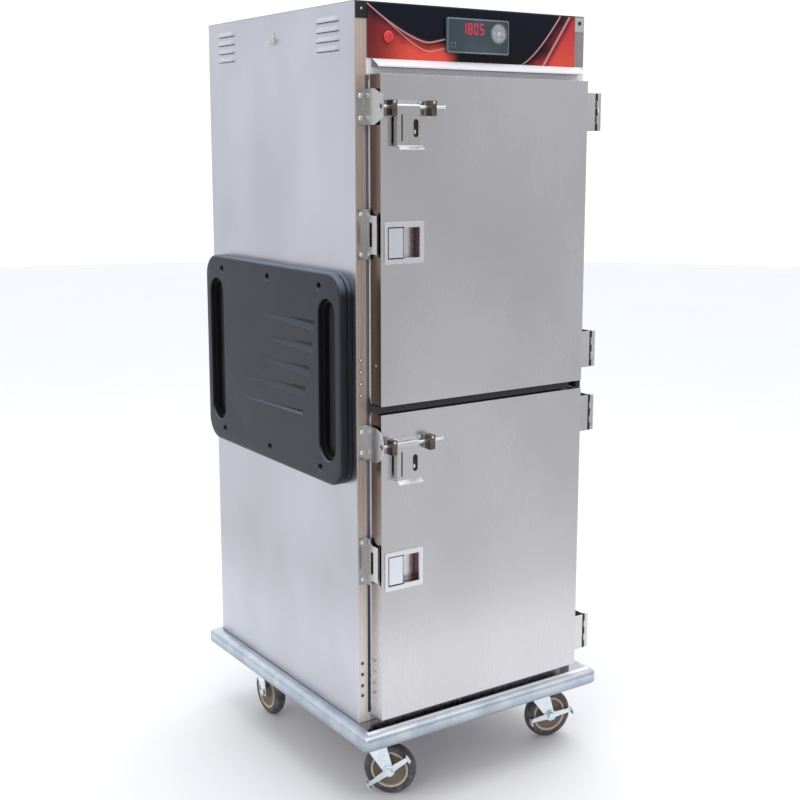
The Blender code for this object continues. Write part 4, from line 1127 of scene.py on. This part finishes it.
FLOOR_RADIUS = 14.0
VIEW_PLACE = (-1.7925, -2.6752, 1.5432)
VIEW_PITCH = math.radians(9.63)
VIEW_YAW = math.radians(34.02)
# The room's colours, from behind the camera to straight ahead of it
ROOM = (
    (0.0, (0.50, 0.49, 0.48)), (0.31, (0.60, 0.60, 0.62)),
    (0.69, (0.80, 0.82, 0.88)), (0.92, (1.1, 1.1, 1.1)),
)


def make_floor():
    """A pale round floor, darker far in front of the cabinet."""
    rings = [(circle((0, 0), FLOOR_RADIUS, 96), z) for z in (-0.002, -SKIN)]
    floor = placed("floor", lofted("z", rings))
    paint = Paint("floor_paper", (0.86, 0.86, 0.87), 0.7)
    depth = paint.axis("Y")
    mottle = paint.mix(paint.noise(1.2), (0.85, 0.85, 0.86), (0.88, 0.88, 0.88))
    near = paint.mix(paint.across(depth, -2.0, -1.0, 1.0, 0.0), mottle, (0.62, 0.62, 0.63))
    paint.colour(paint.across(depth, -4.2, -2.8, 1.0, 0.0), near, (0.52, 0.52, 0.53))
    floor.data.materials.append(paint.material)


def make_room():
    """A soft room, lighter ahead of the camera than behind it, and brighter overhead."""
    world = bpy.data.worlds.new("room")
    bpy.context.scene.world = world
    world.use_nodes = True
    room = Nodes(world.node_tree)
    direction = room.tree.nodes.new("ShaderNodeTexCoord").outputs["Generated"]
    ahead = (math.sin(VIEW_YAW), math.cos(VIEW_YAW), 0.0)
    turned_to = room.add("ShaderNodeVectorMath", {0: direction, 1: ahead}, "Value", operation="DOT_PRODUCT")
    height = room.add("ShaderNodeSeparateXYZ", {0: direction}, "Z")
    room.put(room.tree.nodes["Background"], {
        "Color": room.ramp(room.across(turned_to, -1.0, 1.0, smooth=False), *ROOM),
        "Strength": room.across(height, 0.15, 1.0, 1.0, 1.7),
    })


def make_lamp(name, place, aim, size, power, colour=(1, 1, 1)):
    data = bpy.data.lights.new(name, "AREA")
    data.shape = "RECTANGLE"
    data.size, data.size_y = size
    data.energy = power
    data.color = colour
    obj = placed(name, data)
    obj.location = place
    obj.rotation_euler = (Vector(aim) - Vector(place)).to_track_quat("-Z", "Y").to_euler()


def make_camera():
    data = bpy.data.cameras.new("camera")
    data.sensor_width = 36.0
    data.lens = 56.88
    data.shift_y = -0.05
    camera = placed("camera", data)
    camera.location = VIEW_PLACE
    camera.rotation_euler = (math.pi / 2 - VIEW_PITCH, 0.0, -VIEW_YAW)
    bpy.context.scene.camera = camera


bpy.context.scene.view_settings.view_transform = "Standard"
make_camera()
make_floor()
make_room()
make_lamp("overhead", (0.0, -0.4, 4.2), (0, 0, 0), (3.6, 3.6), 62)
make_lamp("left_softbox", (-3.4, -2.2, 2.6), (0, 0, 1.0), (1.6, 2.4), 22, (0.96, 0.98, 1.0))
paint_nodes()
for side_name, way in SIDES.items():
    make_handle_panel(side_name, way)
    make_louvres(side_name, way)
make_hook()
make_rivets()
for door_name in DOORS:
    make_latch_details(door_name)
    make_hinge_gaps(door_name)
    make_hasp_back(door_name)
    make_paddle_outline(door_name)
make_gap_seal()
make_controls()
make_top_corners()
make_bumper()
for corner_name in CORNERS:
    make_wheel(corner_name)
make_back()
